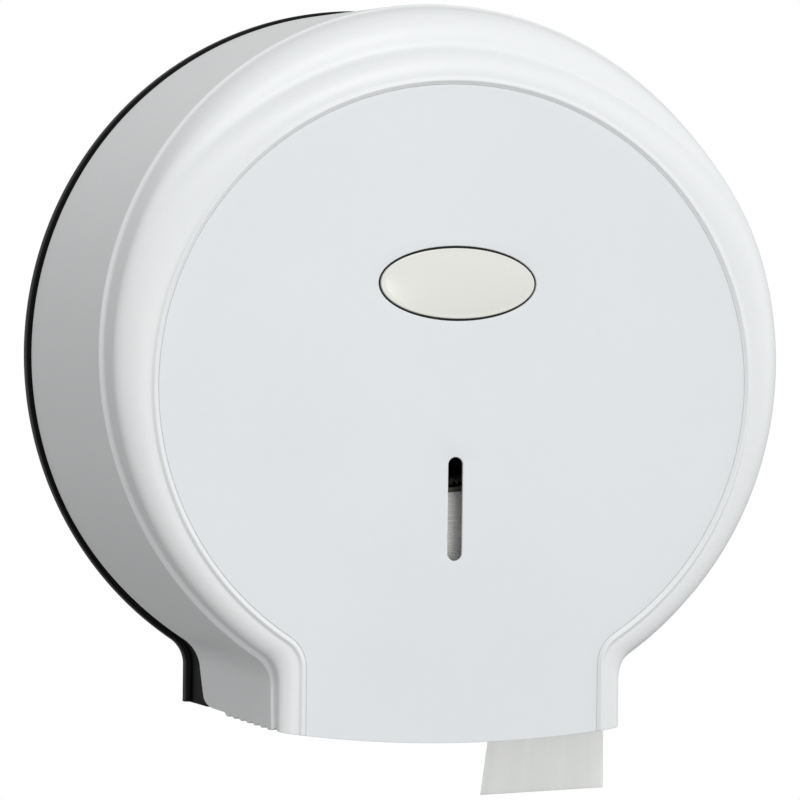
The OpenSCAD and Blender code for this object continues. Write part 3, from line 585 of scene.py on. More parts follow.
HUB_GREY = MouldedPlastic(
    "hub_grey_brown", (0.19, 0.178, 0.15), (0.145, 0.135, 0.114), roughness=0.55, specular=0.4,
    grain=0.01, edge_radius=0.3, edge_colour=(0.20, 0.19, 0.165), edge_wear=0.3, dust=0.2,
    dust_colour=(0.28, 0.265, 0.23))
BACKING_BLACK = MouldedPlastic(
    "backing_black", (0.006, 0.006, 0.006), (0.012, 0.012, 0.012), roughness=0.6, specular=0.3,
    grain=0.006, edge_radius=0.1, edge_colour=(0.02, 0.02, 0.02), dust=0.05, dust_colour=(0.1, 0.1, 0.1))
BADGE_SATIN = MouldedPlastic(
    "badge_satin", (0.74, 0.745, 0.695), (0.72, 0.725, 0.67), roughness=0.24, specular=0.6,
    grain=0.001, ripple=0.004, edge_radius=0.3, edge_colour=(0.9, 0.9, 0.88), dust=0.0)
BUSH_NYLON = MouldedPlastic(
    "bush_nylon", (0.78, 0.76, 0.68), (0.72, 0.70, 0.62), roughness=0.5, specular=0.45, grain=0.006,
    edge_radius=0.25, glow=0.2)
ZINC_STEEL = Metal(
    "zinc_steel", (0.62, 0.63, 0.64), (0.50, 0.51, 0.50), roughness=0.32, marks=(1, 0.05, 1))
TURNED_STEEL = Metal(
    "turned_steel", (0.60, 0.61, 0.62), (0.52, 0.53, 0.54), roughness=0.2, marks=(0.05, 1, 0.05))
LOCK_CHROME = Metal(
    "lock_chrome", (0.78, 0.79, 0.80), (0.70, 0.71, 0.72), roughness=0.1, marks=(1, 1, 0.1),
    mark_depth=0.0008)
LOCK_BRASS = Metal(
    "lock_brass", (0.68, 0.52, 0.26), (0.56, 0.41, 0.19), roughness=0.22, marks=(1, 1, 0.1))
ROLL_TISSUE = RollTissue("roll_tissue", ROLL_AXIS_Z)
SHEET_TISSUE = SheetTissue("sheet_tissue")
CORE_BOARD = CoreBoard("core_board", ROLL_AXIS_Z)


# ---------------------------------------------------------------- meshes


class Surface:
    """Collects grids of points and makes one closed, smooth-shaded mesh of them."""

    WELD = 2e-6          # distance under which points merge, in metres
    SHARP = 32.0         # angle between faces over which an edge stays sharp, in degrees

    def __init__(self) -> None:
        """Start with no grids."""
        self._points: list[Array] = []
        self._quads: list[Array] = []
        self._uvs: list[Array] = []
        self._count = 0

    def grid(self, points: Array, keep: Optional[Array] = None, uv: Optional[Array] = None) -> "Surface":
        """Add a grid of points as quads between its rows and columns.

        Args:
            points: array of shape (rows, columns, 3), as (x, depth, z) in millimetres.
            keep: which quads to keep, of shape (rows - 1, columns - 1).
            uv: texture coordinates, of shape (rows, columns, 2).
        """
        rows, columns = points.shape[:2]
        index = np.arange(rows * columns).reshape(rows, columns) + self._count
        quads = np.stack([index[:-1, :-1], index[:-1, 1:], index[1:, 1:], index[1:, :-1]], axis=-1)
        quads = quads.reshape(-1, 4) if keep is None else quads[keep]
        self._points.append(points.reshape(-1, 3))
        self._quads.append(quads)
        self._uvs.append(np.zeros((rows * columns, 2)) if uv is None else uv.reshape(-1, 2))
        self._count += rows * columns
        return self

    def mirrored(self) -> "Surface":
        """Add every grid again, mirrored to the other side of X = 0."""
        points, quads, uvs = (np.concatenate(part) for part in (self._points, self._quads, self._uvs))
        self._points.append(points * (-1, 1, 1))
        self._quads.append(quads[:, ::-1] + self._count)
        self._uvs.append(uvs)
        self._count *= 2
        return self

    def build(self, name: str, finish: Finish, body: Body, slot: str, sharp: float = SHARP,
              uv_name: Optional[str] = None) -> bpy.types.Object:
        """Weld the grids, turn every face outwards and make the piece.

        Args:
            name: the piece's name.
            finish: its finish.
            body: the body that it rides on.
            slot: the record's material slot that it belongs to; passed on, but not used.
            sharp: angle over which an edge stays sharp, in degrees.
            uv_name: name of the UV map, where the finish reads one.

        Returns:
            The new object, at the origin.
        """
        points = np.concatenate(self._points) * (MM, -MM, MM)
        quads = np.concatenate(self._quads)
        mesh = bpy.data.meshes.new(name)
        mesh.vertices.add(len(points))
        mesh.vertices.foreach_set("co", points.astype(np.float32).ravel())
        mesh.loops.add(quads.size)
        mesh.loops.foreach_set("vertex_index", quads.ravel().astype(np.int32))
        mesh.polygons.add(len(quads))
        mesh.polygons.foreach_set("loop_start", np.arange(0, quads.size, 4, dtype=np.int32))
        if uv_name:
            corners = np.concatenate(self._uvs)[quads.ravel()]
            mesh.uv_layers.new(name=uv_name).data.foreach_set("uv", corners.astype(np.float32).ravel())
        mesh.update(calc_edges=True)
        shape = bmesh.new()
        shape.from_mesh(mesh)
        bmesh.ops.remove_doubles(shape, verts=shape.verts, dist=self.WELD)
        bmesh.ops.dissolve_degenerate(shape, edges=shape.edges, dist=self.WELD)
        bmesh.ops.recalc_face_normals(shape, faces=shape.faces)
        shape.to_mesh(mesh)
        shape.free()
        smooth(mesh, sharp)
        return finished(bpy.data.objects.new(name, mesh), finish, body, slot)


def smooth(mesh: bpy.types.Mesh, sharp: float) -> None:
    """Shade a mesh smooth, with sharp edges where its faces turn by more than so many degrees."""
    mesh.polygons.foreach_set("use_smooth", np.ones(len(mesh.polygons), dtype=bool))
    mesh.set_sharp_from_angle(angle=np.radians(sharp))
    mesh.update()


def finished(piece: bpy.types.Object, finish: Finish, body: Body, slot: str) -> bpy.types.Object:
    """Link a piece to the scene, give it its finish and ride it on its body.

    Args:
        piece: the new object.
        finish: its finish.
        body: the body that it rides on.
        slot: the record's material slot that it belongs to; not used.
    """
    bpy.context.scene.collection.objects.link(piece)
    piece.data.materials.clear()
    piece.data.materials.append(finish.material())
    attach(piece, body.value)
    LOG.info("%s: %d faces on %s", piece.name, len(piece.data.polygons), body.value)
    return piece


def blend(a: Array, b: Array, share: Array) -> Array:
    """Return the straight blend from a to b."""
    return a + (b - a) * share


def ease(t: Array) -> Array:
    """Return t from 0 to 1 with a soft start and end: 3 t squared minus 2 t cubed."""
    c = np.clip(t, 0, 1)
    return c * c * (3 - 2 * c)


def points_of(x: Array, depth: Array, z: Array) -> Array:
    """Return points of broadcast x, depth and z."""
    return np.stack(np.broadcast_arrays(x, depth, z), axis=-1).astype(float)


def curve_through(a: Array, corner: Array, b: Array, steps: int) -> Array:
    """Return points that round a corner: the quadratic curve from a to b pulled towards the corner.

    Args:
        a: first point, or first row of points.
        corner: the sharp corner's point, or its row.
        b: last point, or last row.
        steps: number of points or rows.
    """
    t = np.linspace(0, 1, steps).reshape(-1, *[1] * np.ndim(a))
    return blend(blend(a, corner, t), blend(corner, b, t), t)


def quarter_turn(steps: int) -> Array:
    """Return even angles from 0 to a quarter turn, in radians."""
    return np.linspace(0, np.pi / 2, steps)


def lathe_x(x: Sequence[float], radius: Sequence[float], depth: float, z: float, steps: int = 48) -> Array:
    """Return a surface turned about an axis along X: each (x, radius) runs round a circle."""
    a = np.linspace(0, 2 * np.pi, steps + 1)[None, :]
    r = np.asarray(radius, float)[:, None]
    return points_of(np.asarray(x, float)[:, None], depth + r * np.sin(a), z + r * np.cos(a))


def lathe_depth(depth: Sequence[float], radius: Sequence[float], x: float, z: float,
                steps: int = 48) -> Array:
    """Return a surface turned about an axis along the depth: each (depth, radius) runs round a circle."""
    a = np.linspace(0, 2 * np.pi, steps + 1)[None, :]
    r = np.asarray(radius, float)[:, None]
    return points_of(x + r * np.cos(a), np.asarray(depth, float)[:, None], z + r * np.sin(a))


def necked_oval(rx: Array, rz: Array, centre: float, half: Array, fillet: Array, low: Array,
                station: Array) -> tuple[Array, Array]:
    """Return x and z along the right half of an oval that runs down into a straight neck.

    Stations run from 0 to 1 up the neck's side, to 2 round the fillet and to 3 over the oval
    to its top. The fillet touches the oval where x plus the fillet's reach along the oval's
    normal equals the neck's half width plus the fillet, and the angle is found by halving.

    Args:
        rx: half width of the oval.
        rz: half height of the oval.
        centre: height of its centre.
        half: half width of the neck.
        fillet: radius between the oval and the neck.
        low: height of the neck's lower end.
        station: places along the outline.
    """
    rx, rz, half, fillet = (np.asarray(value, float) for value in (rx, rz, half, fillet))
    low_t = np.zeros(np.broadcast(rx, rz, half, fillet).shape)
    high_t = np.full_like(low_t, np.pi / 2)
    for _ in range(HALVINGS):
        t = (low_t + high_t) / 2
        reach = fillet * rz * np.cos(t) / np.hypot(rz * np.cos(t), rx * np.sin(t))
        outside = rx * np.cos(t) + reach > half + fillet
        low_t, high_t = np.where(outside, t, low_t), np.where(outside, high_t, t)
    slope = np.hypot(rz * np.cos(t), rx * np.sin(t))
    turn = np.arctan2(rx * np.sin(t), rz * np.cos(t))
    fillet_x = half + fillet
    fillet_z = centre - rz * np.sin(t) - fillet * rx * np.sin(t) / slope
    bend = np.pi - turn * np.clip(station - 1, 0, 1)
    arc = blend(-t, np.pi / 2, np.clip(station - 2, 0, 1))
    up = np.clip(station, 0, 1)
    over_x = np.where(station <= 2, fillet_x + fillet * np.cos(bend), rx * np.cos(arc))
    over_z = np.where(station <= 2, fillet_z + fillet * np.sin(bend), centre + rz * np.sin(arc))
    x = np.where(station <= 1, half, over_x)
    z = np.where(station <= 1, blend(low, fillet_z, up), over_z)
    return np.where(station >= 3, 0.0, x), z


# ---------------------------------------------------------------- leading sizes


@dataclass(frozen=True)
class Plan:
    """The leading sizes of the cover, shared by the pieces on it and the plate behind it."""

    wall: float = 2.8
    draft: float = 0.4
    drum_in_r: float = 131.4
    neck_in: float = 66.2
    neck_fillet: float = 12.0
    roll_front: float = 112.8
    front_room: float = 6.6
    panel_t: float = 2.2
    panel_gap: float = 0.12
    ring_depth: float = 18.0
    ring_side: float = 18.05
    ring_top: float = 30.9
    ring_neck: float = 11.2
    ring_steep: float = 0.56
    panel_drop: float = 9.4
    panel_fillet: float = 14.0
    ridge_w: float = 3.0
    ridge_h: float = 0.85
    lip_tilt: float = 4.25
    chamfer: float = 1.8
    neck_chamfer: float = 1.0
    top_chamfer: float = 1.0
    rear_gap: float = 7.6
    relief_drop: float = 55.0
    relief_r: float = 169.0
    neck_below: float = 4.5
    chin_bulge: float = 5.1
    corner_w: float = 3.0
    hinge_depth: float = 34.0
    hinge_up: float = 7.2
    edge_rise: float = 2.1
    tooth_count: int = 7
    tooth_pitch: float = 9.0
    tooth_h: float = 1.3
    tooth_stop: float = 0.6
    tooth_fade: float = 2.0
    slot_w: float = 5.8
    slot_l: float = 39.0
    slot_drop: float = 36.4
    slot_relief: float = 3.0
    badge_w: float = 60.8
    badge_h: float = 26.4
    badge_z: float = 28.7
    badge_border: float = 0.9
    badge_t: float = 1.4
    badge_crown: float = 0.68
    badge_sunk: float = 0.2
    backing_t: float = 0.6
    seat_gap: float = 0.02

    @property
    def drum_r(self) -> float:
        """Outer radius of the drum at its lip."""
        return self.drum_in_r + self.wall

    @property
    def neck_out(self) -> float:
        """Outer half width of the neck."""
        return self.neck_in + self.wall

    @property
    def front_in(self) -> float:
        """Depth of the front wall's inner face."""
        return self.roll_front + self.front_room

    @property
    def panel_back(self) -> float:
        """Depth of the panel's seat."""
        return self.front_in + self.wall

    @property
    def face(self) -> float:
        """Depth of the panel's front face."""
        return self.panel_back + self.panel_t

    @property
    def panel_rear(self) -> float:
        """Depth of the panel's back, just off its seat."""
        return self.panel_back + self.seat_gap

    @property
    def pocket_floor(self) -> float:
        """Depth of the floor of the badge's pocket."""
        return self.face - self.badge_t - self.badge_sunk

    @property
    def side_drop(self) -> float:
        """Drop from the drum's centre to the side walls' lower edge."""
        return self.drum_r + self.neck_below

    @property
    def hinge_z(self) -> float:
        """Height of the hinge's axis."""
        return self.hinge_up - self.side_drop

    @property
    def tooth_end(self) -> float:
        """Depth at which the last tooth ends."""
        return self.front_in - self.tooth_stop

    @property
    def tooth_start(self) -> float:
        """Depth at which the first tooth starts."""
        return self.tooth_end - self.tooth_count * self.tooth_pitch

    def lip(self, z: Array) -> Array:
        """Return the depth of the lip at a height: its plane leans back towards the top."""
        return self.face - self.ring_depth - z * np.tan(np.radians(self.lip_tilt))

    def rear(self, z: Array) -> Array:
        """Return the depth of the rear edge at a height: flat, then a circle that curves forward."""
        below = np.maximum(0, -z - self.relief_drop)
        return self.rear_gap + self.relief_r - np.sqrt(self.relief_r ** 2 - below ** 2)

    def chin(self, x: Array) -> Array:
        """Return the height of the front wall's lower edge: a wide circle with rounded outer corners."""
        drop = self.side_drop + self.chin_bulge
        radius = (self.neck_out ** 2 + self.chin_bulge ** 2) / (2 * self.chin_bulge)
        corner = np.clip((np.abs(x) - self.neck_out + self.corner_w) / self.corner_w, 0, 1)
        lift = self.tooth_h * (1 - np.sqrt(1 - corner ** 2))
        return radius - drop - np.sqrt(radius ** 2 - x ** 2) + lift

    def side_edge(self, depth: Array) -> Array:
        """Return the height of a side wall's lower edge: a gentle slope with rounded teeth under it.

        The teeth are the absolute value of sin(pi t), with t counting them from the first.
        """
        along = (depth - self.hinge_depth) / (self.front_in - self.hinge_depth)
        phase = (depth - self.tooth_start) / self.tooth_pitch
        tooth = np.where((phase > 0) & (phase < self.tooth_count), np.abs(np.sin(np.pi * phase)), 0)
        return blend(self.edge_rise, self.tooth_h, along) - self.side_drop - self.tooth_h * tooth

    def lower_edge(self, x: Array, depth: Array) -> Array:
        """Return the height of the neck's lower edge: the side's, easing into the chin's past the teeth."""
        past = (depth - self.tooth_end) / self.tooth_fade
        return blend(self.side_edge(depth), self.chin(x), ease(past))

    def chamfer_at(self, station: Array) -> Array:
        """Return the chamfer's width at a station: widest where the drum leaves the neck's fillet."""
        side = blend(self.neck_chamfer, self.chamfer, ease(station - 1))
        return blend(side, self.top_chamfer, ease(station - 2))

    def drum(self, inset: Array, low: Array, station: Array) -> tuple[Array, Array]:
        """Return the drum's outline, shrunk by an inset."""
        r = self.drum_r - np.asarray(inset)
        return necked_oval(r, r, 0.0, self.neck_out - inset, self.neck_fillet + inset, low, station)

    def panel(self, inset: Array, low: Array, station: Array) -> tuple[Array, Array]:
        """Return the outline of the panel's seat, shrunk by an inset."""
        rx = self.drum_r - self.ring_side - inset
        rz = self.drum_r - self.ring_top + self.panel_drop - inset
        half = self.neck_out - self.ring_neck - inset
        return necked_oval(rx, rz, -self.panel_drop, half, self.panel_fillet + inset, low, station)


PLAN = Plan()


@dataclass(frozen=True)
class FrontStations:
    """Stations along the half outline, and what the front's inner edge does between them.

    The inner edge, or spine, is the centre line, but it bulges out round the slot and the
    badge's pocket, so that a grid between the outline and the spine has true holes.
    """

    SLACK = 1e-6         # by how much a station may be off

    plan: Plan = PLAN
    neck_steps: int = 9
    fillet_steps: int = 12
    arc_steps: int = 132
    slot_from: float = 2.16
    slot_to: float = 2.40
    badge_from: float = 2.46
    badge_to: float = 2.72
    round_share: float = 0.32
    least_step: float = 0.002

    @property
    def all(self) -> Array:
        """Every station, with those where the spine changes among them."""
        even = [np.linspace(0, 1, self.neck_steps + 1), np.linspace(1, 2, self.fillet_steps + 1),
                np.linspace(2, 3, self.arc_steps + 1)]
        ends = [self.slot_from, self.slot_to, self.badge_from, self.badge_to]
        merged = np.unique(np.round(np.concatenate([*even, ends]), 6))
        close = np.diff(merged, prepend=-1) < self.least_step
        return merged[~close | np.isin(merged, np.round(ends, 6))]

    @property
    def neck_end(self) -> int:
        """Index of station 1, where the neck's side ends."""
        return int(np.searchsorted(self.all, 1.0))

    def between(self, stations: Array, first: float, last: float) -> Array:
        """Return which stations lie from the first to the last."""
        return (stations >= first - self.SLACK) & (stations <= last + self.SLACK)

    def slot_part(self, stations: Array) -> Array:
        """Return which stations lie along the slot."""
        return self.between(stations, self.slot_from, self.slot_to)

    def badge_part(self, stations: Array) -> Array:
        """Return which stations lie along the badge's pocket."""
        return self.between(stations, self.badge_from, self.badge_to)

    def spine(self, stations: Array, low: float, neck_top: float, top: float, slot_grow: float,
              badge_grow: Optional[float]) -> tuple[Array, Array]:
        """Return x and z of the front's inner edge at each station.

        Along the slot it follows half an obround: a quarter circle, a straight side and a
        quarter circle. Along the badge it follows half an ellipse.

        Args:
            stations: places along the outline, or the run of them round one hole.
            low: height of the front's lower edge on the centre line.
            neck_top: height at station 1.
            top: height at the last station.
            slot_grow: how much the slot is widened all round.
            badge_grow: how much the badge's pocket is widened, or None where there is no pocket.
        """
        p = self.plan
        half = p.slot_w / 2
        slot_top, slot_low = -p.slot_drop - half, -p.slot_drop - p.slot_l + half
        r = half + slot_grow
        badge_a, badge_b = p.badge_w / 2 + p.badge_border, p.badge_h / 2 + p.badge_border
        grow = 0.0 if badge_grow is None else badge_grow
        ends = [low, neck_top, slot_low - r, slot_top + r, p.badge_z - badge_b - grow,
                p.badge_z + badge_b + grow, top]
        marks = [0, 1, self.slot_from, self.slot_to, self.badge_from, self.badge_to, 3]
        z = np.interp(stations, marks, ends)
        share = self.round_share
        along = (stations - self.slot_from) / (self.slot_to - self.slot_from)
        lower, upper = np.clip(along / share, 0, 1), np.clip((along - 1 + share) / share, 0, 1)
        turn = np.pi / 2 * (lower - 1 + upper)
        middle = blend(slot_low, slot_top, np.clip((along - share) / (1 - 2 * share), 0, 1))
        on_slot = self.slot_part(stations)
        x = np.where(on_slot, r * np.cos(turn), 0.0)
        z = np.where(on_slot, middle + r * np.sin(turn), z)
        if badge_grow is not None:
            around = np.pi * ((stations - self.badge_from) / (self.badge_to - self.badge_from) - 0.5)
            on_badge = self.badge_part(stations)
            x = np.where(on_badge, (badge_a + grow) * np.cos(around), x)
            z = np.where(on_badge, p.badge_z + (badge_b + grow) * np.sin(around), z)
        return np.where(np.abs(x) < self.SLACK, 0, x), z


FRONT = FrontStations()


def flat_front(outline: tuple[Array, Array], spine: tuple[Array, Array], depth: float, stations: Array,
               columns: int) -> Array:
    """Return a flat grid between an outline and a spine, with the chin's curve as its lower edge.

    Each row is the straight line between the two at one station. Below station 1 the row
    sags by what the chin's curve differs from that line at station 0.

    Args:
        outline: x and z of the outline.
        spine: x and z of the spine.
        depth: depth of the face.
        stations: places along both.
        columns: number of columns.
    """
    share = np.linspace(0, 1, columns)[:, None]
    x = blend(outline[0], spine[0], share)
    z = blend(outline[1], spine[1], share)
    chord = blend(outline[1][0], spine[1][0], share)
    sag = PLAN.chin(blend(outline[0][0], spine[0][0], share)) - chord
    return points_of(x, depth, z + sag * np.clip(1 - stations, 0, 1))


# ---------------------------------------------------------------- the cover


@dataclass
class CoverShell:
    """The white drum-shaped shell: side wall, chamfered lip, rounded ring, ridge, seat and front wall.

    The ring's form is in shares of its steps and of its way inwards and forwards. The shares
    top_from and top_over are of the drum's radius: the height above the centre at which the
    top form starts, and how much further up it is complete. Angles are in degrees.
    """

    plan: Plan = PLAN
    lip_round: float = 0.6
    edge_rows: int = 5
    cove: float = 0.5
    cove_ahead: float = 0.8
    cove_rows: int = 6
    ring_rows: int = 40
    steep_steps: float = 0.25
    steep_in: float = 0.06
    shoulder_in: float = 0.58
    shoulder_out: float = 0.66
    bead_from: float = 30.0
    top_from: float = 0.3
    top_over: float = 0.65
    soften: float = 0.05
    soften_fade: float = 0.125
    soften_taps: int = 7
    ridge_rows: int = 12
    groove_round: float = 0.06
    groove_rows: int = 4
    inner_seat: float = 0.6
    floor_columns: int = 7
    corner_below: float = 0.5
    corner_lean: float = 1.4
    corner_drop: float = 4.7
    corner_run: float = 9.0
    corner_rows: int = 9
    tooth_rows: int = 10
    least_row: float = 0.05
    lock_depth: float = 30.0
    lock_recess_r: float = 11.2
    lock_seat: float = 131.6
    lock_bore_r: float = 9.01
    lock_boss_r: float = 13.0
    lock_boss_low: float = 126.0
    patch_reach: float = 17.0
    patch_station: float = 2.5
    patch_rings: int = 6
    patch_ease: float = 1.3
    hinge_boss_r: float = 4.9
    hinge_boss_x: float = 62.2
    hinge_boss_round: float = 0.4
    hinge_boss_sunk: float = 1.0
    pin_socket_r: float = 2.55
    stations: Array = field(default_factory=lambda: FRONT.all)

    def lower_path(self) -> tuple[Array, Array]:
        """Return depth and height along a side wall's lower edge, from the rear corner to the lip.

        The rear corner is a quadratic curve. Beyond it every tooth has the same number of rows.
        """
        p = self.plan
        top = p.hinge_z - self.corner_below
        rear = float(p.rear(np.array(top)))
        end = p.hinge_depth + self.corner_run
        corner = (rear + self.corner_lean, top - self.corner_drop)
        turned = curve_through(*np.array([(rear, top), corner, (end, p.side_edge(end))]), self.corner_rows)
        lip_z = -p.side_drop
        for _ in range(SETTLINGS):
            lip_depth = float(p.lip(lip_z)) - self.lip_round
            lip_z = float(p.side_edge(np.array(lip_depth)))
        count = int((lip_depth - p.tooth_start) / p.tooth_pitch * self.tooth_rows)
        teeth = p.tooth_start + np.arange(1, count + 1) * p.tooth_pitch / self.tooth_rows
        further = np.concatenate([np.linspace(end, p.tooth_start, 4)[1:], teeth, [lip_depth]])
        further = further[np.concatenate([np.diff(further) > self.least_row, [True]])]
        return np.append(turned[:, 0], further), np.append(turned[:, 1], p.side_edge(further))

    def side_rows(self, outer: bool) -> Array:
        """Return the rows of a side wall from the rear edge to just behind the lip.

        Above the neck a row lies at an even share of the way from the rear edge to the lip.
        In the neck the grid is the blend of its four edges: the lower path, the rear edge,
        the lip and the row of station 1.

        Args:
            outer: True for the outside of the wall, False for its inside.
        """
        p = self.plan
        inset = 0.0 if outer else p.wall
        low_depth, low_z = self.lower_path()
        v = ((low_depth - low_depth[0]) / (low_depth[-1] - low_depth[0]))[:, None]
        x, z = p.drum(inset + p.draft * (1 - v), low_z[:, None], self.stations[None, :])
        depth = blend(p.rear(z), p.lip(z) - self.lip_round, v)
        neck = np.clip(self.stations, 0, 1)[None, :]
        turn_z = z[:, FRONT.neck_end:FRONT.neck_end + 1]
        turn_depth = blend(p.rear(turn_z), p.lip(turn_z) - self.lip_round, v)
        straight = blend(low_depth[:, None], turn_depth, neck)
        bulge = p.rear(z[:1]) - straight[:1]
        depth = np.where(self.stations < 1, straight + (1 - v) * bulge, depth)
        return points_of(x, depth, z)

    def topness(self, lip_z: Array) -> Array:
        """Return how far the ring has its top form at a height of the lip: 0 at the sides, 1 at the top."""
        return ease((lip_z / self.plan.drum_r - self.top_from) / self.top_over)

    def side_form(self, t: Array) -> tuple[Array, Array]:
        """Return the inward and forward shares at step t at the sides.

        It is a steep straight wall, then a quarter of an ellipse.
        """
        steep = np.clip(t / self.steep_steps, 0, 1)
        turn = np.pi / 2 * np.clip((t - self.steep_steps) / (1 - self.steep_steps), 0, 1)
        inward = blend(self.steep_in * steep, 1, 1 - np.cos(turn))
        return inward, blend(self.plan.ring_steep * steep, 1, np.sin(turn))

    def top_form(self, t: Array) -> tuple[Array, Array]:
        """Return the inward and forward shares at step t at the top.

        It is a shoulder, a quarter of an ellipse that levels out, then a bead round the
        panel, which is the rest of such a quarter from a given angle on.
        """
        start = np.radians(self.bead_from)
        turn = blend(start, np.pi / 2, 2 * t - 1)
        bead_in = 1 - np.cos(turn) / np.cos(start)
        bead_out = (np.sin(turn) - np.sin(start)) / (1 - np.sin(start))
        early, first_in, first_out = t <= 0.5, 1 - np.cos(np.pi * t), np.sin(np.pi * t)
        inward = np.where(early, self.shoulder_in * first_in, blend(self.shoulder_in, 1, bead_in))
        forward = np.where(early, self.shoulder_out * first_out, blend(self.shoulder_out, 1, bead_out))
        return inward, forward

    def ring_path(self, s: Array, topness: Array) -> tuple[Array, Array]:
        """Return the ring's inward and forward shares at step s, softened by averaging nearby steps.

        Args:
            s: steps from 0 at the lip to 1 at the panel.
            topness: 0 at the sides, 1 at the top.
        """
        width = self.soften * np.minimum(1, (1 - s) / self.soften_fade)
        inward, forward = np.zeros_like(s), np.zeros_like(s)
        for shift in np.linspace(-1, 1, self.soften_taps):
            t = np.clip(s + shift * width, 0, 1)
            (side_in, side_out), (top_in, top_out) = self.side_form(t), self.top_form(t)
            inward += blend(side_in, top_in, topness) / self.soften_taps
            forward += blend(side_out, top_out, topness) / self.soften_taps
        return inward, forward

    def ring(self, lip_inset: Array, panel_inset: float, front: float, steps: Array, behind: float) -> Array:
        """Return rows of the ring between the drum's outline and the panel's.

        Args:
            lip_inset: how far the ring starts inside the drum's outline, at each station.
            panel_inset: how far the last row lies inside the panel's outline.
            front: depth of the last row.
            steps: steps of the rows, one row each, of shape (rows, 1) or (rows, stations).
            behind: how far the ring starts behind the lip's plane.
        """
        p = self.plan
        low = np.full((len(steps), 1), -p.side_drop)
        for _ in range(SETTLINGS):
            lip_x, lip_z = p.drum(np.zeros_like(low) + lip_inset, low, self.stations[None, :])
            in_x, in_z = p.panel(np.full_like(low, panel_inset), low, self.stations[None, :])
            inward, forward = self.ring_path(np.broadcast_to(steps, lip_x.shape), self.topness(lip_z))
            x, z = blend(lip_x, in_x, inward), blend(lip_z, in_z, inward)
            depth = blend(p.lip(lip_z) - behind, front, forward)
            low = p.lower_edge(x[:, :1], depth[:, :1])
        return points_of(x, depth, z)

    def drum_row(self, inset: Array, forward: Array) -> Array:
        """Return one row parallel to the lip, a given inset inside it and a given way in front of it."""
        p = self.plan
        low = np.array([[-p.side_drop]])
        for _ in range(SETTLINGS):
            x, z = p.drum(np.atleast_2d(inset), low, self.stations[None, :])
            depth = p.lip(z) + forward
            low = p.lower_edge(x[:, :1], depth[:, :1])
        return points_of(x, depth, z)[0]

    def first_step(self, front: float, forward: Array) -> Array:
        """Return the ring step at each station that lies a given way in front of the lip.

        Args:
            front: depth at which the ring ends.
            forward: distance in front of the lip's plane.
        """
        p = self.plan
        lip_z = p.drum(np.array([[p.chamfer]]), np.array([[-p.side_drop]]), self.stations[None, :])[1]
        reach = forward / (front - p.lip(lip_z))
        side = np.clip(reach / p.ring_steep, 0, 1) * self.steep_steps
        top = np.arcsin(np.clip(reach / self.shoulder_out, 0, 1)) / np.pi
        return blend(side, top, self.topness(lip_z))

    def ring_steps(self, start: Array, rows: int) -> Array:
        """Return the even steps of a number of rows, from each station's first step to the ring's end."""
        return blend(start, 1.0, np.linspace(0, 1, rows)[:, None])

    def front_rows(self) -> Array:
        """Return the rows over the lip: rounded edge, chamfer, cove, ring, ridge, rounded edge and seat wall.

        The ridge stands on the flat stretch round the panel, and its height is h sin(pi t) squared.
        """
        p = self.plan
        r, g = self.lip_round, self.groove_round
        c = p.chamfer_at(self.stations)[None, :]
        half, before = 0.5 * r, c - self.cove
        rounded = (self.drum_row(0, -r), self.drum_row(0, 0), self.drum_row(half, half))
        edge = curve_through(*rounded, self.edge_rows)
        start = self.first_step(p.face, c + self.cove_ahead)
        ring = self.ring(c, -g - p.ridge_w, p.face, self.ring_steps(start, self.ring_rows), 0.0)
        cove = curve_through(self.drum_row(before, before), self.drum_row(c, c), ring[0], self.cove_rows)
        t = np.linspace(0, 1, self.ridge_rows + 1)[1:, None]
        angle = quarter_turn(self.groove_rows + 1)[1:, None]
        inset = np.concatenate([-g - p.ridge_w * (1 - t), -g * (1 - np.sin(angle))])
        rise = np.concatenate([p.ridge_h * np.sin(np.pi * t) ** 2, -g * (1 - np.cos(angle))])
        x, z = p.panel(inset, p.chin(p.neck_out - p.ring_neck - inset), self.stations[None, :])
        groove = points_of(x, p.face + rise, z)
        seat = points_of(x[-1:], p.panel_back, z[-1:])
        return np.concatenate([edge[1:], cove, ring[1:], groove, seat])

    def lock_angles(self, boundary: Array) -> Array:
        """Return the angle of each boundary point about the lock's axis, seen from above."""
        return np.arctan2(boundary[:, 1] - self.lock_depth, boundary[:, 0])

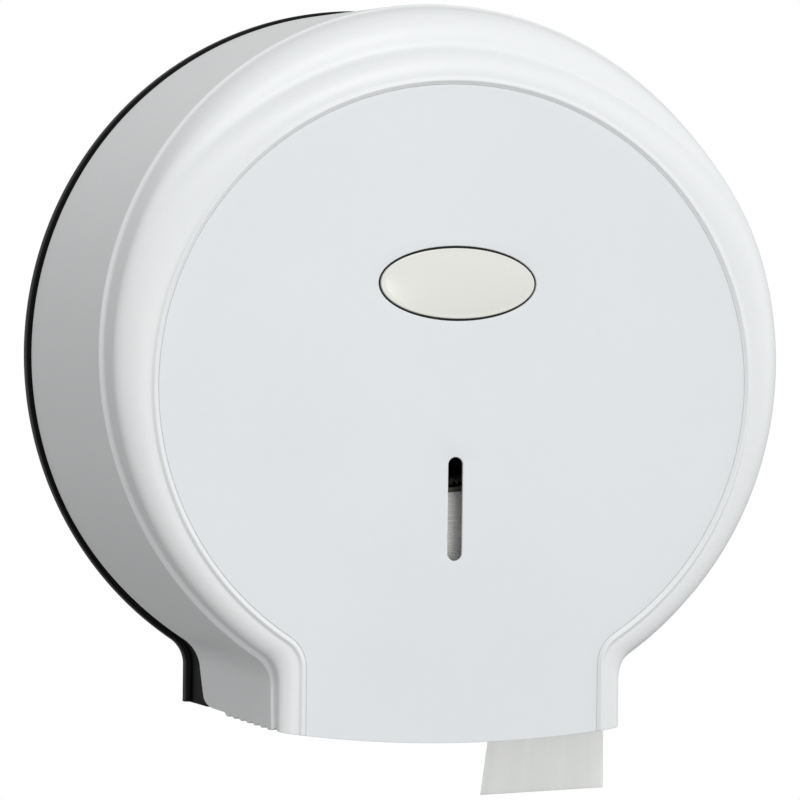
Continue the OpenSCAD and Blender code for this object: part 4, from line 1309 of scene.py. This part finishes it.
    def lock_patch(self, rows: Array, radius: float, inset: float) -> tuple[Array, Array, Array]:
        """Return a patch of the drum round the lock, its circle and which quads it replaces.

        The patch runs from the edge of a block of the side wall's grid to a circle about the
        lock's axis. Every point lies on the drum: z is the square root of R squared minus x
        squared, where R is the drum's radius at that depth.

        Args:
            rows: the side wall's grid.
            radius: radius of the circle.
            inset: how far this side of the wall lies inside the drum.
        """
        p = self.plan
        top_depth = rows[:, -1, 1]
        first = int(np.searchsorted(top_depth, self.lock_depth - self.patch_reach))
        last = int(np.searchsorted(top_depth, self.lock_depth + self.patch_reach))
        within = (rows[first, :, 0] < self.patch_reach) & (self.stations > self.patch_station)
        left = int(np.argmax(within))
        edge = np.concatenate([rows[first, left:][::-1], rows[first + 1:last, left], rows[last, left:]])
        angle = self.lock_angles(edge)
        angle[0], angle[-1] = -np.pi / 2, np.pi / 2
        circle = np.stack([radius * np.cos(angle), self.lock_depth + radius * np.sin(angle)], axis=-1)
        share = np.linspace(0, 1, self.patch_rings) ** self.patch_ease
        flat = blend(circle[None], edge[None, :, :2], share[:, None, None])
        span = float(p.lip(p.drum_r)) - self.lip_round - p.rear_gap
        local_r = p.drum_r - inset - p.draft * (1 - (flat[..., 1] - p.rear_gap) / span)
        patch = points_of(flat[..., 0], flat[..., 1], np.sqrt(local_r ** 2 - flat[..., 0] ** 2))
        patch[-1] = edge
        patch[:, [0, -1], 0] = 0
        keep = np.ones((rows.shape[0] - 1, rows.shape[1] - 1), dtype=bool)
        keep[first:last, left:] = False
        return patch, patch[0], keep

    def lock_well(self, outer_circle: Array, inner_circle: Array) -> Array:
        """Return the lock's mounting: recess, seat, bore and the boss that stands in the drum."""
        angle = self.lock_angles(outer_circle)
        rings = [(self.lock_recess_r, self.lock_seat), (self.lock_bore_r, self.lock_seat),
                 (self.lock_bore_r, self.lock_boss_low), (self.lock_boss_r, self.lock_boss_low)]
        rows = [points_of(r * np.cos(angle), self.lock_depth + r * np.sin(angle), z) for r, z in rings]
        well = np.stack([outer_circle, *rows, inner_circle])
        well[:, [0, -1], 0] = 0
        return well

    def inner_rows(self, count: int) -> Array:
        """Return the rows inside the lip and the ring, a wall's thickness in, as many as are asked for."""
        p = self.plan
        c = p.chamfer_at(self.stations)[None, :]
        lip = self.drum_row(p.wall + c, c / 2 - self.lip_round)
        steps = self.ring_steps(self.first_step(p.front_in, c / 2), count - 1)
        ring = self.ring(p.wall + c, self.inner_seat * p.wall, p.front_in, steps, self.lip_round)
        return np.concatenate([lip[None], ring])

    def hinge_boss(self) -> Array:
        """Return the right hinge boss with its pin's socket, turned about the hinge's axis."""
        p = self.plan
        root, end = p.neck_in + self.hinge_boss_sunk, self.hinge_boss_x
        r, socket = self.hinge_boss_r, self.pin_socket_r
        boss = lathe_x([root, end + self.hinge_boss_round, end, end, root],
                       [r, r, r - self.hinge_boss_round, socket, socket], p.hinge_depth, p.hinge_z)
        return np.concatenate([boss, boss[:1]])

    def build(self) -> bpy.types.Object:
        """Build the shell as one closed mesh and return it."""
        p, stations = self.plan, self.stations
        side_out, side_in = self.side_rows(True), self.side_rows(False)
        front = self.front_rows()
        ring_in = self.inner_rows(len(front))
        chin, neck_top = float(p.chin(0.0)), float(front[-1, FRONT.neck_end, 2])
        floors = []
        for edge, depth in ((front[-1], p.panel_back), (ring_in[-1], p.front_in)):
            spine = FRONT.spine(stations, chin, neck_top, float(edge[-1, 2]), p.slot_relief, None)
            floors.append(flat_front((edge[:, 0], edge[:, 2]), spine, depth, stations, self.floor_columns))
        seat, wall = floors
        outside = np.concatenate([side_out, front, seat[1:]])
        inside = np.concatenate([side_in, ring_in, wall[1:]])

        patch_out, circle_out, keep_out = self.lock_patch(side_out, self.lock_recess_r, 0.0)
        patch_in, circle_in, keep_in = self.lock_patch(side_in, self.lock_boss_r, p.wall)
        rest = np.ones((len(outside) - len(side_out), len(stations) - 1), dtype=bool)
        surface = Surface()
        surface.grid(outside, np.concatenate([keep_out, rest]))
        surface.grid(inside, np.concatenate([keep_in, rest]))
        surface.grid(patch_out).grid(patch_in).grid(self.lock_well(circle_out, circle_in))
        surface.grid(np.stack([outside[0], inside[0]]))
        surface.grid(np.stack([outside[:, 0], inside[:, 0]]))
        slot = FRONT.slot_part(stations)
        surface.grid(np.stack([seat[-1][slot], wall[-1][slot]])).grid(self.hinge_boss())
        shell = surface.mirrored().build("cover_shell", COVER_WHITE, Body.COVER, "cover_shell")
        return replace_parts(shell, "front_cover")


@dataclass
class FacePanel:
    """The flat white panel in the ring, with the sight slot, the badge's pocket and four posts.

    The posts are given for the right half, by x and z, and start short of the front wall.
    """

    plan: Plan = PLAN
    edge_round: float = 0.08
    foot_gap: float = 0.05
    groove_deep: float = 0.12
    slot_round: float = 0.25
    slot_lip: float = 1.1
    slot_flare: float = 2.2
    pocket_round: float = 0.25
    pocket_rings: int = 4
    round_steps: int = 6
    hole_steps: int = 5
    columns: int = 12
    back_columns: int = 5
    post_r: float = 3.5
    post_short: float = 0.3
    post_sunk: float = 0.5
    post_steps: int = 32
    posts: tuple[tuple[float, float], ...] = ((80.1, 30.0), (53.3, -88.7))
    stations: Array = field(default_factory=lambda: FRONT.all)

    def outline(self, inset: float) -> tuple[Array, Array]:
        """Return the panel's outline, shrunk by an inset."""
        p = self.plan
        half = p.neck_out - p.ring_neck - p.panel_gap - inset
        return p.panel(p.panel_gap + inset, float(p.chin(half)), self.stations)

    def edge_rows(self) -> Array:
        """Return the panel's outer edge: a foot that fills the groove's lower part, then a rounded edge."""
        p = self.plan
        r, foot, step = self.edge_round, self.foot_gap - p.panel_gap, p.face - self.groove_deep
        angle = quarter_turn(self.round_steps)
        insets = np.concatenate([[foot, foot, 0.0], r * (1 - np.cos(angle))])
        depths = np.concatenate([[p.panel_rear, step, step], p.face - r * (1 - np.sin(angle))])
        rows = []
        for inset, depth in zip(insets, depths):
            x, z = self.outline(float(inset))
            rows.append(points_of(x, depth, z))
        return np.stack(rows)

    def hole_rows(self, part: Array, round_r: float, below: Sequence[tuple[float, float]],
                  slot: bool) -> Array:
        """Return the wall of the slot or the pocket: a rounded edge, then points below it.

        Args:
            part: which stations the hole takes.
            round_r: radius of the rounded edge.
            below: growth and depth of each further row.
            slot: True for the slot, False for the badge's pocket.
        """
        p = self.plan
        angle = quarter_turn(self.hole_steps)[::-1]
        grown = np.append(round_r * (1 - np.cos(angle)), [row[0] for row in below])
        depths = np.append(p.face - round_r * (1 - np.sin(angle)), [row[1] for row in below])
        rows = []
        for grow, depth in zip(grown, depths):
            growths = (grow, 0.0) if slot else (0.0, grow)
            x, z = FRONT.spine(self.stations[part], 0, 0, 0, *growths)
            rows.append(points_of(x, depth, z))
        return np.stack(rows)

    def build(self) -> bpy.types.Object:
        """Build the panel as one closed mesh and return it."""
        p, stations = self.plan, self.stations
        edge = self.edge_rows()
        rim, back_rim = self.outline(self.edge_round), self.outline(self.foot_gap - p.panel_gap)
        chin, neck_top = float(p.chin(0.0)), float(rim[1][FRONT.neck_end])
        front_spine = FRONT.spine(stations, chin, neck_top, float(rim[1][-1]), self.slot_round,
                                  self.pocket_round)
        back_spine = FRONT.spine(stations, chin, neck_top, float(back_rim[1][-1]), self.slot_flare, None)
        front = flat_front(rim, front_spine, p.face, stations, self.columns)
        back = flat_front(back_rim, back_spine, p.panel_rear, stations, self.back_columns)
        surface = Surface()
        surface.grid(edge).grid(front).grid(back)
        slot, badge = FRONT.slot_part(stations), FRONT.badge_part(stations)
        slot_below = [(0.0, p.face - self.slot_lip), (self.slot_flare, p.panel_rear)]
        surface.grid(self.hole_rows(slot, self.slot_round, slot_below, True))
        pocket = self.hole_rows(badge, self.pocket_round, [(0.0, p.pocket_floor)], False)
        share = np.linspace(0, 1, self.pocket_rings)[:, None, None]
        surface.grid(pocket).grid(blend(pocket[-1], pocket[-1] * (0, 1, 1), share))
        lower = np.concatenate([edge[:, 0], front[1:, 0]])
        places, known = np.linspace(0, 1, len(lower)), np.linspace(0, 1, len(back))
        under = np.stack([np.interp(places, known, axis) for axis in back[:, 0].T], axis=-1)
        surface.grid(np.stack([lower, under]))
        start, end, r = p.front_in + self.post_short, p.panel_rear + self.post_sunk, self.post_r
        for x, z in self.posts:
            surface.grid(lathe_depth([start, start, end, end], [0, r, r, 0], x, z, self.post_steps))
        # The panel's finish is the cover's white darkened as painted shade.
        panel = surface.mirrored().build("face_plate", PANEL_WHITE_SHADED, Body.COVER, "cover_panel")
        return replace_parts(panel, "face_panel")


@dataclass
class Badge:
    """The bare oval badge: a crowned, round-edged plate over a black backing."""

    plan: Plan = PLAN
    edge_round: float = 0.45
    crown_sunk: float = 0.3
    round_steps: int = 6
    rings: int = 16
    ring_ease: float = 0.8
    steps: int = 160

    def build(self) -> bpy.types.Object:
        """Build the plate from rings of ellipses and return it.

        From the back: a flat underside, a straight edge, a quarter circle, and a crown that
        rises by 1 minus the squared share of the radius. The crown starts a share of the
        rounding's radius below its top, so that the two meet at a soft angle.
        """
        p = self.plan
        back = p.pocket_floor + p.backing_t
        edge, r = back + p.badge_t, self.edge_round
        a, b = p.badge_w / 2, p.badge_h / 2
        around = np.linspace(0, 2 * np.pi, self.steps + 1)[None, :]
        angle = quarter_turn(self.round_steps)
        share = np.linspace(1, 0, self.rings) ** self.ring_ease
        inset = np.concatenate([[b, 0.0], r * (1 - np.cos(angle)), blend(r, b, 1 - share[1:])])[:, None]
        crown = (p.badge_crown + r * self.crown_sunk) * (1 - share ** 2)
        depth = np.concatenate([[back, back], edge - r * (1 - np.sin(angle)), edge + crown[1:]])[:, None]
        depth = depth - self.crown_sunk * r * (depth > edge)
        reach = 1 - inset / b
        x = (a - inset * blend(a / b, 1.0, reach)) * np.cos(around)
        grid = points_of(x, depth, p.badge_z + (b - inset) * np.sin(around))
        plate = Surface().grid(grid).build("badge_face", BADGE_SATIN, Body.COVER, "badge_face", sharp=50.0)
        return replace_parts(plate, "badge_plate")


# ---------------------------------------------------------------- the paper


@dataclass
class PaperRoll:
    """A full roll of tissue: slightly uneven turns on its ends and a soft outer wrap."""

    axis_z: float = ROLL_AXIS_Z
    back: float = 17.8
    front: float = 112.8
    radius: float = 105.0
    core_r: float = 38.01
    edge_round: float = 1.2
    end_gap: float = 0.3
    end_step: float = 0.32
    end_rates: tuple[float, float, float] = (2.9, 7.3, 13.7)
    end_wobble: float = 0.6
    fast_share: float = 0.8
    sway: float = 0.05
    round_steps: int = 6
    end_rings: int = 110
    steps: int = 220

    def build(self) -> bpy.types.Object:
        """Build the roll from rings about its axis and return it.

        The ends step in by up to the end's step from turn to turn, as a sum of three sines of
        the radius and the angle, scaled to go from 0 to 1. The outside is drawn in by its sway
        times 1 plus the product of a sine and a cosine of the angle.
        """
        around = np.linspace(0, 2 * np.pi, self.steps + 1)[None, :]
        r = self.edge_round
        radii = np.linspace(self.core_r + self.end_gap, self.radius - r, self.end_rings)[:, None]
        slow, even, fast = (radii * rate for rate in self.end_rates)
        waves = np.sin(slow + self.end_wobble * np.sin(around)) + np.sin(even + around)
        waves = waves + self.fast_share * np.sin(fast - 2 * around)
        uneven = self.end_step * (waves / (2 * (2 + self.fast_share)) + 0.5)
        front_end, back_end = self.front - uneven, self.back + uneven
        corner = quarter_turn(self.round_steps)[:, None]
        outer_r = self.radius - self.sway * (1 + np.sin(3 * around + 1) * np.cos(around))
        rows = [
            points_of(self.core_r * np.cos(around), self.back + r, self.core_r * np.sin(around)),
            points_of(self.core_r * np.cos(around), self.front - r, self.core_r * np.sin(around)),
            points_of(radii * np.cos(around), front_end, radii * np.sin(around)),
        ]
        for depth, sign, turn in ((self.front, -1, corner), (self.back, 1, corner[::-1])):
            edge_r = outer_r - r * (1 - np.sin(turn))
            rows.append(points_of(edge_r * np.cos(around), depth + sign * r * (1 - np.cos(turn)),
                                  edge_r * np.sin(around)))
        rows.append(points_of(radii[::-1] * np.cos(around), back_end[::-1], radii[::-1] * np.sin(around)))
        rows.append(rows[0])
        grid = np.concatenate([row.reshape(-1, self.steps + 1, 3) for row in rows])
        grid[..., 2] += self.axis_z
        roll = Surface().grid(grid).build("tissue_roll", ROLL_TISSUE, Body.ROLL, "tissue")
        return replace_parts(roll, "paper_roll")


@dataclass
class PaperTail:
    """The hanging end of the paper, from the roll's right side over the neck's corner and down."""

    roll: PaperRoll
    thickness: float = 0.4
    clear: float = 0.4
    front_depth: float = 111.0
    back_depth: float = 17.8
    bend_front: tuple[float, float] = (64.6, -112.0)
    bend_back: tuple[float, float] = (57.0, -115.0)
    end_front: tuple[float, float] = (65.5, -163.0)
    end_back: tuple[float, float] = (49.1, -174.58)
    bend_reach: float = 9.0
    upper_rows: int = 13
    bend_rows: int = 13
    lower_rows: int = 24
    across: int = 64
    ripple: float = 0.28
    ripple_from: float = 0.55
    ripple_rate: float = 19.0
    wander: float = 2.2
    wander_rate: float = 5.0
    uv_length: float = 100.0
    uv_width: float = 0.95

    def edge_path(self, bend: tuple[float, float], end: tuple[float, float]) -> Array:
        """Return one edge's path as (x, z): straight off the roll, round the bend, straight down.

        The straight part touches a circle just outside the roll, and the bend is a quadratic curve.

        Args:
            bend: corner of the bend.
            end: lower corner of the tail.
        """
        corner, last, axis = np.array(bend), np.array(end), np.array([0.0, self.roll.axis_z])
        r = self.roll.radius + self.clear
        away = corner - axis
        angle = np.arctan2(away[1], away[0]) + np.arccos(r / np.hypot(*away))
        start = axis + r * np.array([np.cos(angle), np.sin(angle)])
        a = corner + self.bend_reach * (start - corner) / np.hypot(*(start - corner))
        b = corner + self.bend_reach * (last - corner) / np.hypot(*(last - corner))
        upper = np.linspace(0, 1, self.upper_rows + 1)[:-1, None]
        lower = np.linspace(0, 1, self.lower_rows + 1)[1:, None]
        bent = curve_through(a, corner, b, self.bend_rows)
        return np.concatenate([blend(start, a, upper), bent, blend(b, last, lower)])

    def middle(self, front: Array, back: Array, share: Array) -> Array:
        """Return the sheet's middle: the ruled surface between the two edges, rippled.

        The ripple is its height times a sine across the width with a wandering phase, drawn
        in by the square root of sin(pi t) at the two edges, and grows towards the free end.

        Args:
            front: the front edge's path as (x, z).
            back: the back edge's path as (x, z).
            share: places across the width, from 0 at the front to 1 at the back.
        """
        x, z = (blend(front[:, axis, None], back[:, axis, None], share) for axis in (0, 1))
        depth = np.broadcast_to(blend(self.front_depth, self.back_depth, share), x.shape)
        down = np.linspace(0, 1, len(front))[:, None]
        loose = ease((down - self.ripple_from) / (1 - self.ripple_from))
        phase = share * self.ripple_rate + self.wander * np.sin(share * self.wander_rate)
        ripple = self.ripple * loose * np.sin(phase) * np.sqrt(np.sin(np.pi * share))
        return points_of(x - np.abs(ripple), depth, z)

    def build(self) -> bpy.types.Object:
        """Build the tail as a thin closed sheet and return it.

        Its thickness is laid off to both sides of its middle, along the sheet's normal.
        """
        front = self.edge_path(self.bend_front, self.end_front)
        back = self.edge_path(self.bend_back, self.end_back)
        share = np.linspace(0, 1, self.across + 1)[None, :]
        middle = self.middle(front, back, share)
        normal = np.cross(np.gradient(middle, axis=0), np.gradient(middle, axis=1))
        normal /= np.linalg.norm(normal, axis=-1, keepdims=True)
        outer, inner = middle + normal * self.thickness / 2, middle - normal * self.thickness / 2
        length = np.concatenate([[0], np.cumsum(np.hypot(*np.diff(front, axis=0).T))])[:, None]
        uv = np.stack(np.broadcast_arrays(length / self.uv_length, share * self.uv_width), axis=-1)
        surface = Surface().grid(outer, uv=uv).grid(inner, uv=uv)
        for take in (np.s_[0], np.s_[-1]):
            surface.grid(np.stack([outer[take], inner[take]]), uv=np.stack([uv[take], uv[take]]))
            surface.grid(np.stack([outer[:, take], inner[:, take]]), uv=np.stack([uv[:, take], uv[:, take]]))
        tail = surface.build("tissue_tail", SHEET_TISSUE, Body.ROOT, "tissue", uv_name="strip")
        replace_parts(tail, "paper_tail")
        return tail


# ---------------------------------------------------------------- pieces kept as they are made


@dataclass(frozen=True)
class CarriedPiece:
    """A piece whose shape is right as it is: a welded copy gets shading and a finish."""

    WELD = 1e-7          # distance under which points merge, in metres

    node: str
    finish: Finish
    slot: str

    def build(self) -> bpy.types.Object:
        """Replace the node by a welded, smooth-shaded copy of itself and return the copy."""
        source = frame["nodes"][self.node]
        mesh = source.data.copy()
        mesh.name = self.node + "_part"
        shape = bmesh.new()
        shape.from_mesh(mesh)
        bmesh.ops.remove_doubles(shape, verts=shape.verts, dist=self.WELD)
        shape.to_mesh(mesh)
        shape.free()
        smooth(mesh, Surface.SHARP)
        body = Body(source.parent.name.removeprefix("body:"))
        piece = finished(bpy.data.objects.new(mesh.name, mesh), self.finish, body, self.slot)
        piece.modifiers.new("even_normals", "WEIGHTED_NORMAL").keep_sharp = True
        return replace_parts(piece, self.node)


CARRIED = (
    CarriedPiece("back_plate", PLATE_BLACK, "black_plate"),
    CarriedPiece("spindle_bracket", PLATE_BLACK, "black_plate"),
    CarriedPiece("bracket_screws", ZINC_STEEL, "zinc_steel"),
    CarriedPiece("axle", TURNED_STEEL, "turned_steel"),
    CarriedPiece("axle_washer", ZINC_STEEL, "zinc_steel"),
    CarriedPiece("retainer_screw", ZINC_STEEL, "zinc_steel"),
    CarriedPiece("latch_catch", ZINC_STEEL, "zinc_steel"),
    CarriedPiece("catch_screws", ZINC_STEEL, "zinc_steel"),
    CarriedPiece("hinge_pin_left", TURNED_STEEL, "turned_steel"),
    CarriedPiece("hinge_pin_right", TURNED_STEEL, "turned_steel"),
    CarriedPiece("roll_hub", HUB_GREY, "hub_plastic"),
    CarriedPiece("hub_bush_rear", BUSH_NYLON, "bush_nylon"),
    CarriedPiece("hub_bush_front", BUSH_NYLON, "bush_nylon"),
    CarriedPiece("roll_core", CORE_BOARD, "core_card"),
    CarriedPiece("panel_screws", ZINC_STEEL, "zinc_steel"),
    CarriedPiece("badge_backing", BACKING_BLACK, "badge_edge"),
    CarriedPiece("badge_push_nuts", ZINC_STEEL, "zinc_steel"),
    CarriedPiece("lock_barrel", LOCK_CHROME, "lock_chrome"),
    CarriedPiece("lock_nut", ZINC_STEEL, "zinc_steel"),
    CarriedPiece("lock_plug", LOCK_BRASS, "lock_brass"),
    CarriedPiece("lock_cam", ZINC_STEEL, "zinc_steel"),
    CarriedPiece("cam_screw", ZINC_STEEL, "zinc_steel"),
)


@dataclass
class PlateRim:
    """The rounded bead round the black plate's edge, with the plate's own edge drawn in behind it.

    Roundings are pairs: how far in from the outline they reach, and how far along the depth.
    """

    plan: Plan = PLAN
    reveal: float = 0.8
    neck_reveal: float = 0.3
    low_up: float = 1.7
    depth: float = 6.0
    front_round: tuple[float, float] = (1.7, 2.3)
    rear_round: tuple[float, float] = (0.4, 0.4)
    rear_clear: float = 0.25
    round_steps: int = 9
    buried: float = 3.0
    buried_rear: float = 0.02
    buried_front: float = 0.1
    edge_near: float = 0.8
    flat_columns: int = 11
    neck_steps: int = 11
    fillet_steps: int = 15
    arc_steps: int = 299

    def outline(self, inset: Array) -> tuple[Array, Array]:
        """Return x and z of half the plate's outline, from the middle of its lower edge to its top."""
        p = self.plan
        inset = np.atleast_1d(inset)[:, None]
        r, half = p.drum_r + self.reveal - inset, p.neck_out + self.neck_reveal - inset
        low = inset + self.low_up - p.side_drop
        parts = ((0, self.neck_steps), (1, self.fillet_steps), (2, self.arc_steps))
        stations = np.unique(np.concatenate([np.linspace(at, at + 1, count + 1) for at, count in parts]))
        x, z = necked_oval(r, r, 0.0, half, p.neck_fillet + inset, low, stations[None, :])
        across = np.linspace(0, 1, self.flat_columns + 1)[None, :-1]
        return np.hstack([half * across, x]), np.hstack([low + 0 * across, z])

    def draw_in(self, plate: bpy.types.Object) -> None:
        """Move the plate's outermost points inwards, square to its outline, to lie inside the bead."""
        points, normals = np.empty((2, len(plate.data.vertices), 3))
        plate.data.vertices.foreach_get("co", points.ravel())
        plate.data.vertices.foreach_get("normal", normals.ravel())
        x, z = self.outline(np.array(0.0))
        near = np.full(len(points), np.inf)
        for edge_x, edge_z in zip(x[0] * MM, z[0] * MM):
            near = np.minimum(near, np.hypot(np.abs(points[:, 0]) - edge_x, points[:, 2] - edge_z))
        out = normals * (1, 0, 1)
        out /= np.maximum(np.linalg.norm(out, axis=1, keepdims=True), 1e-6)
        rear = self.rear_round[0] + self.rear_clear
        reach = np.where(points[:, 1] < -self.depth / 2 * MM, self.front_round[0], rear) * MM
        points -= out * np.where(near < self.edge_near * MM, reach, 0)[:, None]
        plate.data.vertices.foreach_set("co", points.ravel())
        plate.data.update()

    def build(self, plate: bpy.types.Object) -> bpy.types.Object:
        """Build the bead as one closed ring, with quarter ellipses for its edges, and return it.

        Args:
            plate: the carried plate, which gets its own edge drawn in.
        """
        turn = quarter_turn(self.round_steps)
        (front_w, front_d), (rear_w, rear_d) = self.front_round, self.rear_round
        front = np.stack([front_w * (1 - np.cos(turn)), self.depth - front_d * (1 - np.sin(turn))])[:, ::-1]
        rear = np.stack([rear_w * (1 - np.cos(turn)), rear_d * (1 - np.sin(turn))])
        back = [[self.buried, self.buried], [self.buried_rear, self.depth - self.buried_front]]
        inset, depth = np.hstack([front, rear, back, front[:, :1]])
        x, z = self.outline(inset)
        self.draw_in(plate)
        bead = Surface().grid(points_of(x, depth[:, None], z)).mirrored()
        return bead.build("plate_rim", RIM_BLACK, Body.ROOT, "black_plate", sharp=60.0)


# ---------------------------------------------------------------- studio


def grey(value: float) -> tuple[float, float, float, float]:
    """Return an opaque grey as a colour."""
    return value, value, value, 1.0


@dataclass(frozen=True)
class Lamp:
    """A square area lamp: its place in metres, its power in watts and the length of its side."""

    name: str
    place: tuple[float, float, float]
    power: float
    size: float
    aim: tuple[float, float, float] = (0.0, -0.06, 0.0)

    def light(self) -> None:
        """Add the lamp to the scene, turned to the point that it faces."""
        data = bpy.data.lights.new(self.name, "AREA")
        data.energy, data.size, data.shape = self.power, self.size, "SQUARE"
        lamp = bpy.data.objects.new(self.name, data)
        lamp.location = self.place
        lamp.rotation_euler = (Vector(self.aim) - Vector(self.place)).to_track_quat("-Z", "Y").to_euler()
        bpy.context.scene.collection.objects.link(lamp)


LAMPS = (
    Lamp("key", (0.1, -3.0, -0.35), 18.5, 0.9),
    Lamp("top", (0.0, -2.0, 2.2), 34.5, 1.2),
    Lamp("right", (2.8, -0.9, 0.3), 12.1, 1.2),
)


@dataclass
class Studio:
    """Camera, lamps, floor and a white surround; lengths in metres, the lens's in millimetres."""

    eye: tuple[float, float, float] = (-0.68324, -2.09406, 0.04017)
    azimuth: float = 18.548
    pitch: float = -1.5223
    roll: float = 0.69
    lens: float = 250.4
    sensor: float = 36.0
    floor_z: float = -0.46
    floor_reach: float = 1.5
    floor_pale: float = 0.86
    floor_shade: float = 0.84
    bounce: float = 0.4
    ambient: float = 0.568

    def camera(self) -> None:
        """Place the camera by its eye, its direction and its roll."""
        a, e, r = np.radians([self.azimuth, self.pitch, self.roll])
        ahead = np.array([np.sin(a) * np.cos(e), np.cos(a) * np.cos(e), np.sin(e)])
        right = np.cross(ahead, (0, 0, 1))
        right /= np.linalg.norm(right)
        up = np.cross(right, ahead)
        right_rolled = right * np.cos(r) + up * np.sin(r)
        up_rolled = up * np.cos(r) - right * np.sin(r)
        data = bpy.data.cameras.new("camera")
        data.lens, data.sensor_width = self.lens, self.sensor
        data.clip_start, data.clip_end = 0.1, 50
        camera = bpy.data.objects.new("camera", data)
        turn = Matrix((right_rolled, up_rolled, -ahead)).transposed()
        camera.matrix_world = Matrix.Translation(Vector(self.eye)) @ turn.to_4x4()
        bpy.context.scene.collection.objects.link(camera)
        bpy.context.scene.camera = camera

    def surround(self) -> None:
        """Make the world: plain white to the eye, and dimmer as a light and in reflections."""
        world = bpy.data.worlds.new("surround")
        world.use_nodes = True
        graph = Graph(world.node_tree)
        path = graph.add("LightPath")
        seen = graph.math("MAXIMUM", path.outputs["Is Camera Ray"], path.outputs["Is Transmission Ray"])
        dim, white = (graph.add("Background", {"Color": grey(1.0), "Strength": strength})
                      for strength in (self.ambient, 1.0))
        shader = graph.add("MixShader", {0: seen, 1: dim.outputs[0], 2: white.outputs[0]})
        graph.feed(graph.add("OutputWorld").inputs["Surface"], shader.outputs[0])
        bpy.context.scene.world = world

    def floor(self) -> None:
        """Lay a pale floor well below the dispenser, which throws back less light than the eye sees."""
        points = np.array([(-1, -1), (1, -1), (1, 1), (-1, 1)], float) * self.floor_reach
        mesh = bpy.data.meshes.new("floor")
        mesh.from_pydata([(x, y, self.floor_z) for x, y in points], [], [(0, 1, 2, 3)])
        material = bpy.data.materials.new("floor_pale")
        material.use_nodes = True
        graph = Graph(material.node_tree)
        tone = graph.remap(graph.noise(graph.place(), 3.0, 2.0), 0.3, 0.7)
        pale = graph.mix(tone, grey(self.floor_pale), grey(self.floor_shade))
        colour = graph.mix(graph.add("LightPath").outputs["Is Camera Ray"], grey(self.bounce), pale)
        shader = graph.add("BsdfPrincipled", {"Base Color": colour, "Roughness": 0.9})
        graph.feed(graph.add("OutputMaterial").inputs["Surface"], shader.outputs[0])
        mesh.materials.append(material)
        floor = bpy.data.objects.new("floor", mesh)
        bpy.context.scene.collection.objects.link(floor)

    def build(self) -> None:
        """Set up the whole studio."""
        self.camera()
        self.surround()
        self.floor()
        for lamp in LAMPS:
            lamp.light()
        bpy.context.scene.view_settings.view_transform = "Standard"


def main() -> None:
    """Build the studio, the finishes' groups and every piece."""
    logging.basicConfig(level=logging.INFO, format="%(name)s: %(message)s")
    Studio().build()
    for group in (build_tone_drift, build_moulded_grain, build_worn_edge, build_settled_dust, build_tissue):
        group()
    CoverShell().build()
    FacePanel().build()
    Badge().build()
    roll = PaperRoll()
    roll.build()
    PaperTail(roll).build()
    carried = {piece.node: piece.build() for piece in CARRIED}
    PlateRim().build(carried["back_plate"])


if __name__ == "__main__":
    main()
